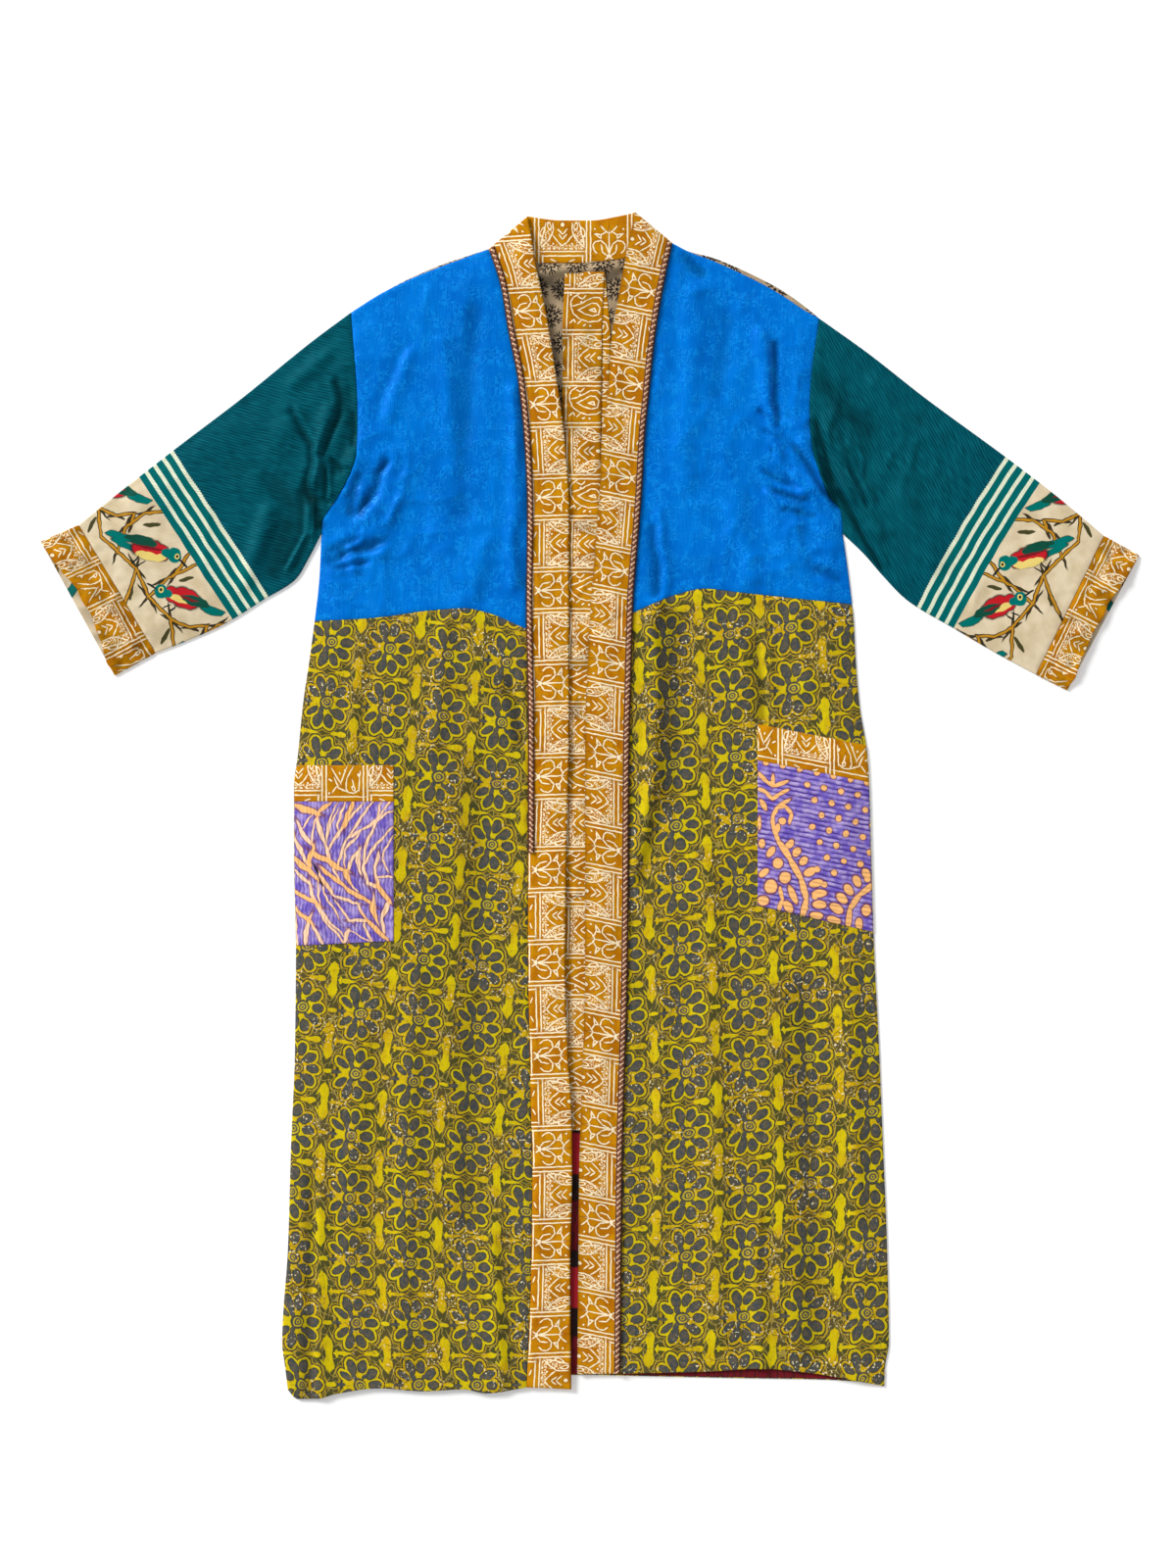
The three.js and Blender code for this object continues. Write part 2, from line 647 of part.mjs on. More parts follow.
// Rings of a flattened tube: over the top wall from the underarm to the fold, and back below.
// The inner ring lies a wall's thickness inside the outer one.
function flattenedTube(topGrid, bottomGrid, thickness) {
  const rings = topGrid[0].map((_, i) => {
    const top = topGrid.map((row) => row[i]);
    const bottom = bottomGrid.map((row) => row[i]);
    const narrowed = (points) => drawIn([points], ['first column', 'last column'], thickness)[0];
    const innerTop = narrowed(top);
    const innerBottom = narrowed(bottom);
    return {
      outer: [
        ...top.map(([x, y]) => [x, y, uppersideZ(x, y) + thickness]),
        ...bottom.map(([x, y]) => [x, y, 0]).reverse(),
      ],
      inner: [
        ...innerTop.map(([x, y], k) => [x, y, Math.max(undersideZ(...top[k]), thickness + restGap)]),
        ...innerBottom.map(([x, y]) => [x, y, thickness]).reverse(),
      ],
    };
  });
  return tubeGeometry(rings.map((ring) => ring.outer), rings.map((ring) => ring.inner));
}

// A sleeve and its cuff, each with a front wall and a back wall that start at the armhole's
// points. Rows run across the sleeve from the underarm to the fold, columns along it.
function addSleeve(side, sleeve, frontArmhole, backArmhole) {
  const along = (rows) => {
    const curve = new THREE.CatmullRomCurve3(
      rows.map((row) => new THREE.Vector3(row.x, row.y, 0)), false, 'centripetal');
    return (u) => curve.getPointAt(u).toArray();
  };
  const under = along(sleeve.underarmRows);
  const fold = along(sleeve.foldRows);
  const last = frontArmhole.length - 1;
  const wallGrid = (armhole) => armhole.map((start, j) => {
    const v = j / last;
    const end = [0, 1].map((k) => mix(under(1)[k], fold(1)[k], v));
    return Array.from({ length: sleeveSteps + 1 }, (_, i) => {
      const u = i / sleeveSteps;
      return [0, 1].map((k) => {
        const lengthwise = mix(under(u)[k], fold(u)[k], v);
        const crosswise = mix(start[k], end[k], u);
        const corners = mix(mix(armhole[0][k], armhole[last][k], v), end[k], u);
        return lengthwise + crosswise - corners;
      });
    });
  });
  const frontGrid = wallGrid(frontArmhole);
  const backGrid = wallGrid(backArmhole);
  const seams = ['first column', 'last column'];
  const walls = flattenedTube(drawIn(frontGrid, seams), drawIn(backGrid, seams), clothWall);
  addPiece(`${side}_sleeve`, walls, 'tealRibbed');

  const cuffGrid = (pull) => frontGrid.map((row, j) => {
    const v = j / last;
    const start = row.at(-1);
    const edge = [
      mix(sleeve.cuffUnder.x, sleeve.cuffFold.x, v),
      mix(sleeve.cuffUnder.y, sleeve.cuffFold.y, v),
    ];
    const length = Math.hypot(edge[0] - start[0], edge[1] - start[1]);
    const reach = 1 - (pull * Math.sin(Math.PI * v) ** 2) / length;
    return Array.from({ length: cuffSteps + 1 }, (_, i) => (
      [0, 1].map((k) => mix(start[k], edge[k], (reach * i) / cuffSteps))));
  });
  const cuffFront = drawIn(cuffGrid(sleeve.cuffPull), ['first column']);
  const cuffBack = drawIn(cuffGrid(0), ['first column']);
  addPiece(`${side}_cuff`, flattenedTube(cuffFront, cuffBack, cuffWall), 'ochreBatik');
}

// The belt: one strip up the lower tail, over the fold at the neck and down the upper tail.
function addBelt() {
  const onBack = (y) => mix(clothWall + restGap, 2 * (clothWall + restGap), ease((backSeamY + 30 - y) / 30))
    + neckRoll.beltLift * ease((y - belt.top + neckRoll.liftLength) / neckRoll.liftLength);
  const steps = (from, to, count) => Array.from({ length: count + 1 }, (_, i) => mix(from, to, i / count));
  const row = (y, middle, outerZ, innerZ, innerY = y) => ({
    outer: [-0.5, 0.5].map((s) => [middle + s * belt.width, y, outerZ]),
    inner: [-0.5, 0.5].map((s) => [middle + s * belt.width, innerY, innerZ]),
  });
  const top = belt.top;
  const foldStart = top - beltWall;
  const lower = steps(belt.lowerEnd, foldStart, 22).map((y) => (
    row(y, beltMiddle.lower(y), onBack(y), onBack(y) + beltWall)));
  const upperBottom = (y) => onBack(y) + beltWall + restGap;
  const upper = steps(foldStart, belt.upperEnd, 16).map((y) => (
    row(y, beltMiddle.upper(y), upperBottom(y) + beltWall, upperBottom(y))));
  const turnMiddle = (beltMiddle.lower(top) + beltMiddle.upper(top)) / 2;
  const turn = [
    row(top, turnMiddle, onBack(top), onBack(top) + beltWall, foldStart),
    row(top, turnMiddle, upperBottom(top) + beltWall, upperBottom(top), foldStart),
  ];
  const strip = [...lower.slice(0, -1), ...turn, ...upper.slice(1)];
  addPiece('belt', layerGeometry(strip.map((r) => r.outer), strip.map((r) => r.inner)), 'ochreBatik');
}

const backArmhole = addBack();
addBelt();
const rightArmhole = addFront('right', {
  bandRows: rightBandRows,
  outerX: rightOuterX,
  shoulderRows: rightShoulderRows,
  seamRows: rightSeamRows,
  hemRows: rightHemRows,
  pocket: rightPocket,
  braidEndY: rightBraidEndY,
});
const leftArmhole = addFront('left', {
  bandRows: leftBandRows,
  outerX: leftOuterX,
  shoulderRows: leftShoulderRows,
  seamRows: leftSeamRows,
  hemRows: leftHemRows,
  pocket: leftPocket,
  braidEndY: -Infinity,
});
addSleeve('right', rightSleeve, rightArmhole, backArmhole.right);
addSleeve('left', leftSleeve, leftArmhole, backArmhole.left);

export default garment;
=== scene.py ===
import bpy
import json
import math
from functools import partialmethod
import numpy as np
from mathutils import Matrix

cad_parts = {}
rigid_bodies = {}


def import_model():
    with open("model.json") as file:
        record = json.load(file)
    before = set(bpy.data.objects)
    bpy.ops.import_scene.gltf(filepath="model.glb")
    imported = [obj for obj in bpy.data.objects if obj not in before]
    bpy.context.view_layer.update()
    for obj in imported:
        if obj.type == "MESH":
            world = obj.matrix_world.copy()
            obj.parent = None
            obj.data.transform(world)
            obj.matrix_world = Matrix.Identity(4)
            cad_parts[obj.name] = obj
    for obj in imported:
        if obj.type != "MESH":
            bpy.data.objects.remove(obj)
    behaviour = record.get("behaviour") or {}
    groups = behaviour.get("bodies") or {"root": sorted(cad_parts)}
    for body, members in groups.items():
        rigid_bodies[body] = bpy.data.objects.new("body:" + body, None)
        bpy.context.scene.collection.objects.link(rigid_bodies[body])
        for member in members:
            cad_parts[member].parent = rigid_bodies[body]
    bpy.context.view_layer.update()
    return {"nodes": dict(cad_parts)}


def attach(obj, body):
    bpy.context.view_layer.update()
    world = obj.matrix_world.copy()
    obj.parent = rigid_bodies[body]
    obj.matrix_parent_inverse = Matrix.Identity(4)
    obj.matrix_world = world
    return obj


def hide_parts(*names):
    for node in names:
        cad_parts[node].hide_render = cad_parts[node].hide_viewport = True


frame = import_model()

print("frame loaded:", len(frame["nodes"]), "solids")

metre = 1000.0

# Levels of the layers above the floor
levels = {
    "clothWall": 0.9, "restGap": 0.3, "foldedEdge": 1.3, "yokeLoft": 3.5, "skirtLoft": 4.4,
    "roundedEdge": 30.0, "beltBulgeYoke": 0.7, "beltBulgeSkirt": 1.1, "hemSettle": 0.8,
    "hemSettleLength": 70.0, "liningInset": 24.0, "liningStep": 1.3, "beltStep": 2.1, "softness": 0.35,
    "softnessAtEdge": 0.24,
}
armpitY = 277.0
backSeamY = 196.0
neckRightX = -103.0
neckLeftX = 84.0

# Edges of the garment as tables, a place along the edge and where the edge lies there
sideEdge = {
    "y": [277, 234, 188, 150, 102, 52, 20, -48, -148, -248, -348, -448, -548, -573, -598],
    "right": [-274, -276, -281, -286, -293, -298, -302, -302, -300, -301, -305, -308, -314, -311, -308],
    "left": [258, 264, 269, 271, 275, 283, 285, 287, 290, 295, 299, 303, 305, 301, 300],
}
armhole = {
    "right": {"x": [-244, -239, -237, -238, -246, -260, -272, -274],
              "y": [503, 440, 400, 358, 335, 311, 294, 277]},
    "left": {"x": [234, 226, 224, 226, 233, 243, 256, 258],
             "y": [497, 439, 400, 368, 342, 317, 299, 277]},
}
shoulder = {
    "right": {"x": [-244, -212, -177, -148, -130, -103],
              "back": [503, 523, 541, 553, 559, 568],
              "front": [503, 523, 540, 551.5, 558, 568]},
    "left": {"x": [84, 99, 125, 154, 179, 200, 218, 234],
             "back": [574, 566, 559, 547, 535, 523, 510, 497],
             "front": [574, 566, 556, 543, 530.5, 518, 506, 497]},
}
waistSeam = {
    "right": {"x": [-281, -222, -161, -128, -103, -66], "y": [188, 191, 199, 201, 196, 180.5]},
    "left": {"x": [45, 88, 116, 154, 220, 269], "y": [197, 215, 221, 217, 210, 205]},
}
hem = {
    "right": {"x": [-308, -299, -277, -260, -215, -170, -129, -106, -64],
              "y": [-596, -605, -604.5, -600, -594, -597, -595, -599, -593]},
    "left": {"x": [31, 120, 171, 229, 263, 300], "y": [-579, -577, -574, -579, -585, -592]},
    "back": {"x": [-310, -200, -60, -15, 75, 150, 235, 302],
             "y": [-596, -590, -584, -581, -582.5, -584, -585.5, -590]},
}
frontBand = {
    "right": {
        "y": [568, 530, 483, 438, 398, 357, 304, 202, 82, -67, -158, -256, -312, -368, -481, -593],
        "outer": [-103, -91, -83, -74, -69, -66, -64, -65, -63, -63, -63, -61, -60, -58.5, -60, -64.5],
        "inner": [-63, -55, -44, -36, -29, -24, -21, -21, -21, -24, -25, -22, -18.5, -18, -20, -19],
        "innerY": [601, 552, 499, 449, 402, 357, 304, 202, 82, -67, -158, -256, -312, -368, -481, -595],
    },
    "left": {
        "y": [574, 540, 508, 467, 418, 377, 322, 270, 206, 130, 73, -168, -290, -368, -480, -579],
        "outer": [84, 77, 71, 65, 60, 56, 53, 49, 44, 42, 40.5, 38.5, 35, 33, 32, 31],
        "inner": [46, 36.5, 30, 22, 18, 12, 10, 6, 1, -3, -5, -5, -8.5, -11, -12, -13],
        "innerY": [605, 560, 524, 478, 418, 377, 322, 270, 206, 130, 73, -168, -290, -368, -480, -580],
    },
}
neckSeam = {"x": [-103, -51, -12, 36, 84], "y": [568, 553, 553, 558, 574]}
neckTop = {"x": [-63, -30, 2, 28, 46], "y": [601, 597, 597, 601, 605]}
sleeveEdge = {
    "right": {
        "foldX": [-244, -283, -357, -420, -484, -521], "foldY": [503, 474, 414, 366, 316, 286],
        "underX": [-274, -287, -300, -333, -372, -412, -443], "underY": [277, 252, 231, 210, 186, 168, 156],
        "cuffFold": (-560, 269), "cuffUnder": (-485, 133), "cuffPull": 9,
    },
    "left": {
        "foldX": [234, 283, 343, 426, 474, 524], "foldY": [497, 462, 415, 354, 317, 275],
        "underX": [258, 279, 299, 323, 373, 414, 455], "underY": [277, 257, 234, 210, 180, 156, 134],
        "cuffFold": (560, 255), "cuffUnder": (487, 118), "cuffPull": 4,
    },
}
beltRun = {
    "y": [544, 480, 420, 300, 82, -92, -331],
    "upper": [-6, -7, -8, -8, -12, -13, -14],
    "lower": [-5, 1, 2, -4, -11, -12, -14],
}

# Creases listed: the half width, height and lean of each, then x and y of each of its points.
# A leaning crease has a trough along one side of its ridge, as cloth that is pushed together has.
creases = [
    (5, -2.1, 0, -207, 350, -216, 338, -219, 318, -230, 298),
    (9, 0.7, 0, -198, 356, -206, 330, -220, 300), (7, -1.6, 0, -236, 334, -244, 300),
    (4, -1.6, 0.5, -222, 322, -232, 300), (5, -1.6, 0.5, -240, 272, -262, 262),
    (4, -1.2, 0, -228, 248, -256, 242), (8, -1.6, 0.6, -214, 268, -252, 258),
    (7, 1.3, -0.5, -246, 262, -238, 240), (9, 1.2, 0.4, -78, 422, -76, 330, -80, 224),
    (15, -0.8, 0, -120, 500, -132, 300), (11, -1.2, 0.3, -262, 252, -226, 262),
    (12, 0.8, 0.4, -150, 470, -142, 380), (10, 0.9, -0.4, -182, 460, -206, 396),
    (10, 0.7, 0.3, -104, 268, -122, 214), (5, -2.0, 0, 190, 470, 189, 414, 193, 388, 224, 346, 250, 306),
    (7, 0.8, 0, 196, 400, 212, 372, 236, 348), (4, -1.5, 0, 174, 402, 190, 386),
    (4, -1.5, 0.5, 178, 382, 198, 366), (4, -1.7, 0.5, 184, 362, 206, 344),
    (4, -1.3, 0, 178, 342, 202, 328), (4, -1.6, 0.5, 190, 322, 216, 312),
    (4, -1.3, 0, 200, 302, 226, 296), (7, -1.6, 0.4, 66, 282, 67, 250, 66, 216),
    (11, 1.4, 0, 176, 480, 190, 350), (6, 1.4, 0.6, 186, 400, 206, 372),
    (6, 1.5, -0.6, 190, 358, 214, 330), (6, 1.2, 0.6, 184, 318, 206, 302),
    (7, -1.4, 0.6, 232, 240, 250, 232), (9, -1.7, 0.5, 96, 560, 112, 544),
    (16, 1.0, 0.2, 108, 520, 96, 330), (12, -0.7, 0, 140, 500, 132, 420),
    (12, 0.8, 0.3, 146, 300, 166, 232), (9, 0.8, -0.4, 70, 300, 76, 228),
    (5, -2.0, -0.4, -260, 432, -255, 412, -258, 396, -266, 380, -276, 358),
    (9, -0.9, 0, -246, 420, -246, 380, -262, 340), (9, 1.3, 0, -268, 404, -280, 362, -284, 336),
    (5, -2.2, 0.4, -302, 402, -294, 384, -285, 368, -284, 348, -290, 322),
    (8, -2.8, 0, -286, 318, -282, 300, -277, 286), (5, -1.2, 0, -286, 314, -270, 309),
    (4, -1.4, 0.5, -264, 352, -253, 342), (4, -1.3, 0.5, -272, 342, -271, 316),
    (4, -1.3, 0, -244, 400, -243, 368), (6, -1.6, 0.5, -294, 316, -296, 278, -310, 248),
    (12, -1.6, 0, -308, 286, -318, 256, -322, 240), (5, -1.6, -0.6, -288, 270, -302, 240),
    (12, 1.2, 0, -322, 300, -336, 262), (14, -1.2, 0, -334, 344, -306, 308),
    (16, 1.0, 0, -300, 400, -340, 330), (12, 0.9, 0.4, -330, 296, -352, 226),
    (9, 0.9, 0.4, -268, 462, -300, 430), (6, -2.6, 0.4, 231, 390, 240, 354, 252, 322, 276, 276, 298, 244),
    (10, 1.5, 0, 248, 376, 266, 326, 296, 278), (13, -1.4, 0, 238, 430, 262, 402, 284, 384),
    (5, -1.3, 0.4, 262, 350, 284, 306), (4, -1.3, 0, 236, 352, 250, 312),
    (13, 0.9, 0.3, 290, 432, 318, 386), (14, 1.0, 0.4, 318, 316, 352, 246),
    (10, 1.7, 0.5, 66, 204, 64, 20, 46, -70), (14, -1.0, 0, 86, 190, 84, 0),
    (9, -1.5, 0.4, 169, 166, 171, 139, 174, 86), (12, 0.8, 0.3, 210, 196, 222, 120),
    (8, -1.6, 0.5, -80, 126, -77, 103, -72, 65), (13, 0.8, 0.3, -150, 180, -158, 60),
    (12, 0.9, -0.3, -232, 170, -248, 60), (10, -1.5, 0.5, -286, -378, -288, -446, -288, -599),
    (12, 1.0, 0, -313, -521, -292, -512), (20, 1.2, 0.2, -180, -160, -196, -560),
    (18, -0.8, 0, -118, 40, -124, -420), (14, 0.8, 0.3, -232, -220, -246, -470),
    (11, 1.1, 0.4, -100, -440, -92, -590), (20, 1.1, 0.2, 118, -60, 132, -540),
    (13, 0.8, -0.3, 74, -180, 70, -420), (18, -0.9, 0, 214, -190, 226, -560),
    (12, 0.9, 0.3, 262, -160, 272, -420), (10, 1.0, 0.4, 168, -420, 176, -574),
]


def blend(a, b, t):
    # the value at the share t of the way from a to b
    return a + (b - a) * t


def ease(t):
    # smooth step: 3t^2 - 2t^3, held at 0 and 1 outside
    c = np.clip(t, 0, 1)
    return c * c * (3 - 2 * c)


def smoothCurve(at, value):
    # a curve through a table, without overshoot: between two rows a cubic, whose slope at a row is
    # the harmonic mean of the slopes on both sides, and a straight line past the ends
    order = np.argsort(at)
    k = np.array(at, float)[order]
    v = np.array(value, float)[order]
    secant = np.diff(v) / np.diff(k)
    before, after = secant[:-1], secant[1:]
    same = before * after > 0
    middle = np.where(same, 2 * before * after / np.where(same, before + after, 1), 0)
    slope = np.concatenate([secant[:1], middle, secant[-1:]])

    def curve(place):
        place = np.asarray(place, float)
        i = np.clip(np.searchsorted(k, place, side="right") - 1, 0, len(k) - 2)
        span = k[i + 1] - k[i]
        t = np.clip((place - k[i]) / span, 0, 1)
        inside = ((1 + 2 * t) * (1 - t) ** 2 * v[i] + t * (1 - t) ** 2 * span * slope[i]
                  + t * t * (3 - 2 * t) * v[i + 1] + t * t * (t - 1) * span * slope[i + 1])
        below = slope[0] * np.minimum(place - k[0], 0)
        above = slope[-1] * np.maximum(place - k[-1], 0)
        return inside + below + above

    return curve


def alongPath(xs, ys):
    # a smooth path through points, as x and y of the share of its length
    steps = np.hypot(np.diff(xs), np.diff(ys))
    share = np.concatenate([[0], np.cumsum(steps)]) / steps.sum()
    xCurve = smoothCurve(share, xs)
    yCurve = smoothCurve(share, ys)
    return lambda s: np.stack([xCurve(s), yCurve(s)], -1)


sides = {
    side: {
        "sideX": smoothCurve(sideEdge["y"], sideEdge[side]),
        "armholeX": smoothCurve(armhole[side]["y"], armhole[side]["x"]),
        "shoulderFront": smoothCurve(shoulder[side]["x"], shoulder[side]["front"]),
        "shoulderBack": smoothCurve(shoulder[side]["x"], shoulder[side]["back"]),
        "seamY": smoothCurve(waistSeam[side]["x"], waistSeam[side]["y"]),
        "hemY": smoothCurve(hem[side]["x"], hem[side]["y"]),
        "bandOuterX": smoothCurve(frontBand[side]["y"], frontBand[side]["outer"]),
        "bandInnerX": smoothCurve(frontBand[side]["y"], frontBand[side]["inner"]),
        "bandInnerY": smoothCurve(frontBand[side]["y"], frontBand[side]["innerY"]),
        "out": -1 if side == "right" else 1,
    }
    for side in ("right", "left")
}
backHemY = smoothCurve(hem["back"]["x"], hem["back"]["y"])
neckSeamY = smoothCurve(neckSeam["x"], neckSeam["y"])
beltUpperX = smoothCurve(beltRun["y"], beltRun["upper"])
beltLowerX = smoothCurve(beltRun["y"], beltRun["lower"])


def outerX(side, y):
    # the side edge below the armpit and the armhole seam above it
    return np.where(y < armpitY, sides[side]["sideX"](y), sides[side]["armholeX"](y))


def backTopY(x):
    # the back's upper edge: the shoulders, and the neck seam between them
    shoulders = np.where(x < 0, sides["right"]["shoulderBack"](x), sides["left"]["shoulderBack"](x))
    return np.where((x < neckRightX) | (x > neckLeftX), shoulders, neckSeamY(x))


def nearestOnPath(x, y, points):
    # the distance to a chain of straight pieces, and how far to the left of the nearest piece's own line
    best = np.full(np.shape(x), 1e9)
    signed = np.zeros(np.shape(x))
    for (ax, ay), (bx, by) in zip(points, points[1:]):
        length = math.hypot(bx - ax, by - ay)
        dx, dy = (bx - ax) / length, (by - ay) / length
        t = np.clip((x - ax) * dx + (y - ay) * dy, 0, length)
        away = np.hypot(x - ax - t * dx, y - ay - t * dy)
        across = (x - ax) * -dy + (y - ay) * dx
        closer = away < best
        best = np.where(closer, away, best)
        signed = np.where(closer, across, signed)
    return best, signed


foldedEdges = [
    list(zip(sideEdge["right"], sideEdge["y"])),
    list(zip(sideEdge["left"], sideEdge["y"])),
    list(zip(shoulder["right"]["x"], shoulder["right"]["front"])),
    list(zip(shoulder["left"]["x"], shoulder["left"]["front"])),
    [(-103, 568), (-63, 601)],
    [(84, 574), (46, 605)],
]
for sleeve in sleeveEdge.values():
    foldedEdges.append([*zip(sleeve["foldX"], sleeve["foldY"]), sleeve["cuffFold"]])
    foldedEdges.append([*zip(sleeve["underX"], sleeve["underY"]), sleeve["cuffUnder"]])


def distanceToFoldedEdge(x, y):
    # the least distance to any folded edge of the garment
    return np.min([nearestOnPath(x, y, edge)[0] for edge in foldedEdges], axis=0)


def softNoise(x, y, sizeX, sizeY, seed):
    # values from -1 to 1 on a lattice of the given size, joined by smooth steps
    lattice = np.random.RandomState(seed).uniform(-1, 1, (64, 64))
    gx, gy = x / sizeX + 512, y / sizeY + 512
    i, j = np.floor(gx).astype(int), np.floor(gy).astype(int)
    s, t = ease(gx - i), ease(gy - j)
    i0, i1, j0, j1 = i % 64, (i + 1) % 64, j % 64, (j + 1) % 64
    low = blend(lattice[j0, i0], lattice[j0, i1], s)
    high = blend(lattice[j1, i0], lattice[j1, i1], s)
    return blend(low, high, t)


def creaseNoise(x, y, sizeX, sizeY, seed):
    # narrow irregular ridges along the lines where soft noise crosses zero, from 0 to 1
    bent = x + sizeX * 0.5 * softNoise(x, y, sizeX * 1.7, sizeY * 1.7, seed + 1)
    return (1 - np.abs(softNoise(bent, y, sizeX, sizeY, seed))) ** 4


# the last three set the painted shade of the creases: how much per depth of trough, its most, and from
# crinkles
foldLook = {
    "narrowing": 0.72, "height": 2.7, "deepest": 3.0, "sway": 3.0, "swaySize": 30, "leanAway": 1.5,
    "paintedShadePerDepth": 0.34, "paintedShadeMost": 0.8, "crinkleShade": 0.05,
}


def creaseHeight(x, y):
    # each crease is a bell across its swaying path, minus a second bell beside it where it leans
    look = foldLook
    total = np.zeros(np.shape(x))
    sway = look["sway"] * softNoise(x, y, look["swaySize"], look["swaySize"], 13)
    for halfWidth, height, lean, *row in creases:
        points = list(zip(row[::2], row[1::2]))
        width = halfWidth * look["narrowing"]
        away, across = nearestOnPath(x + sway, y, points)
        fromTrough = across - look["leanAway"] * width * np.sign(lean)
        beside = np.sqrt(np.maximum(away ** 2 - across ** 2, 0) + fromTrough ** 2)
        total += height * (np.exp(-(away / width) ** 2) - abs(lean) * np.exp(-(beside / width) ** 2))
    # where creases meet, their sum bends smoothly to a limit
    return look["deepest"] * np.tanh(total / look["deepest"])


def paintedCreaseShade(x, y):
    # painted shade in the crease troughs: it grows with their depth, and fine crinkles add a little
    look = foldLook
    deep = np.maximum(-creaseHeight(x, y), 0) * look["paintedShadePerDepth"]
    crinkles = np.maximum(softNoise(x + 0.4 * y, y, 7, 13, 15), 0)
    crinkled = look["crinkleShade"] * (crushing(x, y) - 0.4) * crinkles
    return np.clip(deep + np.maximum(crinkled, 0), 0, look["paintedShadeMost"])


def layerHeight(x, y):
    # the smooth underside of the upper layer: it rises from the folded edges to its loft,
    # bulges over the belt and settles towards the hem
    inSkirt = ease((backSeamY + 34 - y) / 60)
    rise = ease(distanceToFoldedEdge(x, y) / levels["roundedEdge"])
    overBelt = ease((46 - np.abs(x - beltUpperX(y))) / 22) * ease((y + 361) / 30)
    settle = levels["hemSettle"] * ease(1 - (y + 590) / levels["hemSettleLength"])
    bulge = overBelt * blend(levels["beltBulgeYoke"], levels["beltBulgeSkirt"], inSkirt)
    loft = blend(levels["yokeLoft"], levels["skirtLoft"], inSkirt) - settle + bulge
    return blend(levels["foldedEdge"], loft, rise)


# How rumpled the upper layer is: broad swells, middling wrinkles and fine crinkles, each as its height,
# its size across and along the garment, and the seed of its noise, then the height of narrow ridges.
# The cloth is most crushed around both armholes, as places with their reach and strength say, and
# calmest down the skirt.
rumple = {
    "broad": (0.6, 66, 130, 3),
    "middling": (0.6, 22, 46, 5),
    "fine": (0.24, 8, 11, 7),
    "ridge": 1.2,
    "crushed": [(-225, 300, 70, 2.2), (222, 330, 75, 2.4), (-290, 310, 60, 1.6), (270, 350, 70, 1.8),
                (196, 240, 60, 1.0), (-120, 270, 60, 0.7), (110, 520, 50, 0.9)],
    "calmYoke": 0.8,
    "calmSkirt": 0.55,
    "fadeLength": 12,
}


def crushing(x, y):
    # how strong the wrinkles are at a place: calm on the yokes, calmer on the skirt, more near the
    # armholes, where a bell rises over each crushed place
    inSkirt = ease((backSeamY + 14 - y) / 40)
    strength = blend(rumple["calmYoke"], rumple["calmSkirt"], inSkirt)
    for cx, cy, reach, more in rumple["crushed"]:
        bell = np.exp(-((x - cx) ** 2 + (y - cy) ** 2) / reach ** 2)
        strength = strength + more * bell * (1 - 0.6 * inSkirt)
    return strength


def wrinkle(kind, x, y, strength=1.0):
    # wrinkles of one size: their height and strength times soft noise
    height, across, along, seed = rumple[kind]
    return height * strength * softNoise(x, y, across, along, seed)


def upperSurface(x, y):
    # the underside of the upper layer with its creases and wrinkles, kept above the layer beneath
    inward = distanceToFoldedEdge(x, y)
    fade = ease(inward / rumple["fadeLength"])
    strength = crushing(x, y)
    swells = wrinkle("broad", x, y)
    wrinkles = wrinkle("middling", x + 0.3 * y, y, strength)
    crinkles = wrinkle("fine", x, y, strength)
    ridges = creaseNoise(x, y, 44, 70, 11) + 0.55 * creaseNoise(x, y, 21, 27, 17) - 0.35
    moved = layerHeight(x, y) + fade * (creaseHeight(x, y) * foldLook["height"] + swells + wrinkles)
    moved = moved + fade * (rumple["ridge"] * strength * ridges + crinkles)
    overLining = ease((backSeamY + 20 - y) / 20) * ease(inward / 20)
    overBelt = ease((30 - np.abs(x - beltUpperX(y))) / 8) * ease((y + 340) / 12)
    lowest = levels["foldedEdge"] + levels["liningStep"] * overLining + levels["beltStep"] * overBelt
    # a soft maximum, so that a trough bottoms out gently on the layer beneath
    soft = levels["softness"]
    return lowest + soft * np.logaddexp(0, (moved - lowest) / soft) - levels["softnessAtEdge"] * (1 - fade)


seamLook = {"foldRadius": 3.0, "foldDepth": 1.1, "drawnIn": 0.75, "drawnWidth": 2.4, "pucker": 0.5,
            "puckerReach": 9}
rimLook = {"radius": 1.1, "depth": 0.45}


def quarterRound(distance, radius, depth):
    # how far a rounded edge has dropped at a distance from it
    t = np.clip(1 - distance / radius, 0, 1)
    return depth * (1 - np.sqrt(1 - t * t))


def frontSurface(side, x, y):
    # the underside of a front panel: the upper surface, curled down at the folded sides and at the
    # shoulder, and drawn in along its seams with small puckers
    look = seamLook
    edges = sides[side]
    height = upperSurface(x, y)
    fromSide = np.abs(edges["sideX"](y) - x)
    fromShoulder = np.maximum(edges["shoulderFront"](x) - y, 0)
    belowArmpit = ease((armpitY + 4 - y) / 8)
    height = height - belowArmpit * quarterRound(fromSide, look["foldRadius"], look["foldDepth"])
    height = height - quarterRound(fromShoulder, look["foldRadius"], look["foldDepth"])
    waist = np.abs(y - edges["seamY"](x))
    band = np.abs(x - edges["bandOuterX"](y))
    sleeveSeam = np.where(y > armpitY - 6, np.abs(x - edges["armholeX"](y)), 99)
    for away, place, seed in ((waist, x, 21), (band, y, 23), (sleeveSeam, y, 25)):
        pucker = softNoise(place, away * 0.35, 6.5, 9, seed)
        height = height - look["drawnIn"] * np.exp(-(away / look["drawnWidth"]) ** 2)
        height = height + look["pucker"] * pucker * np.exp(-away / look["puckerReach"])
    return height


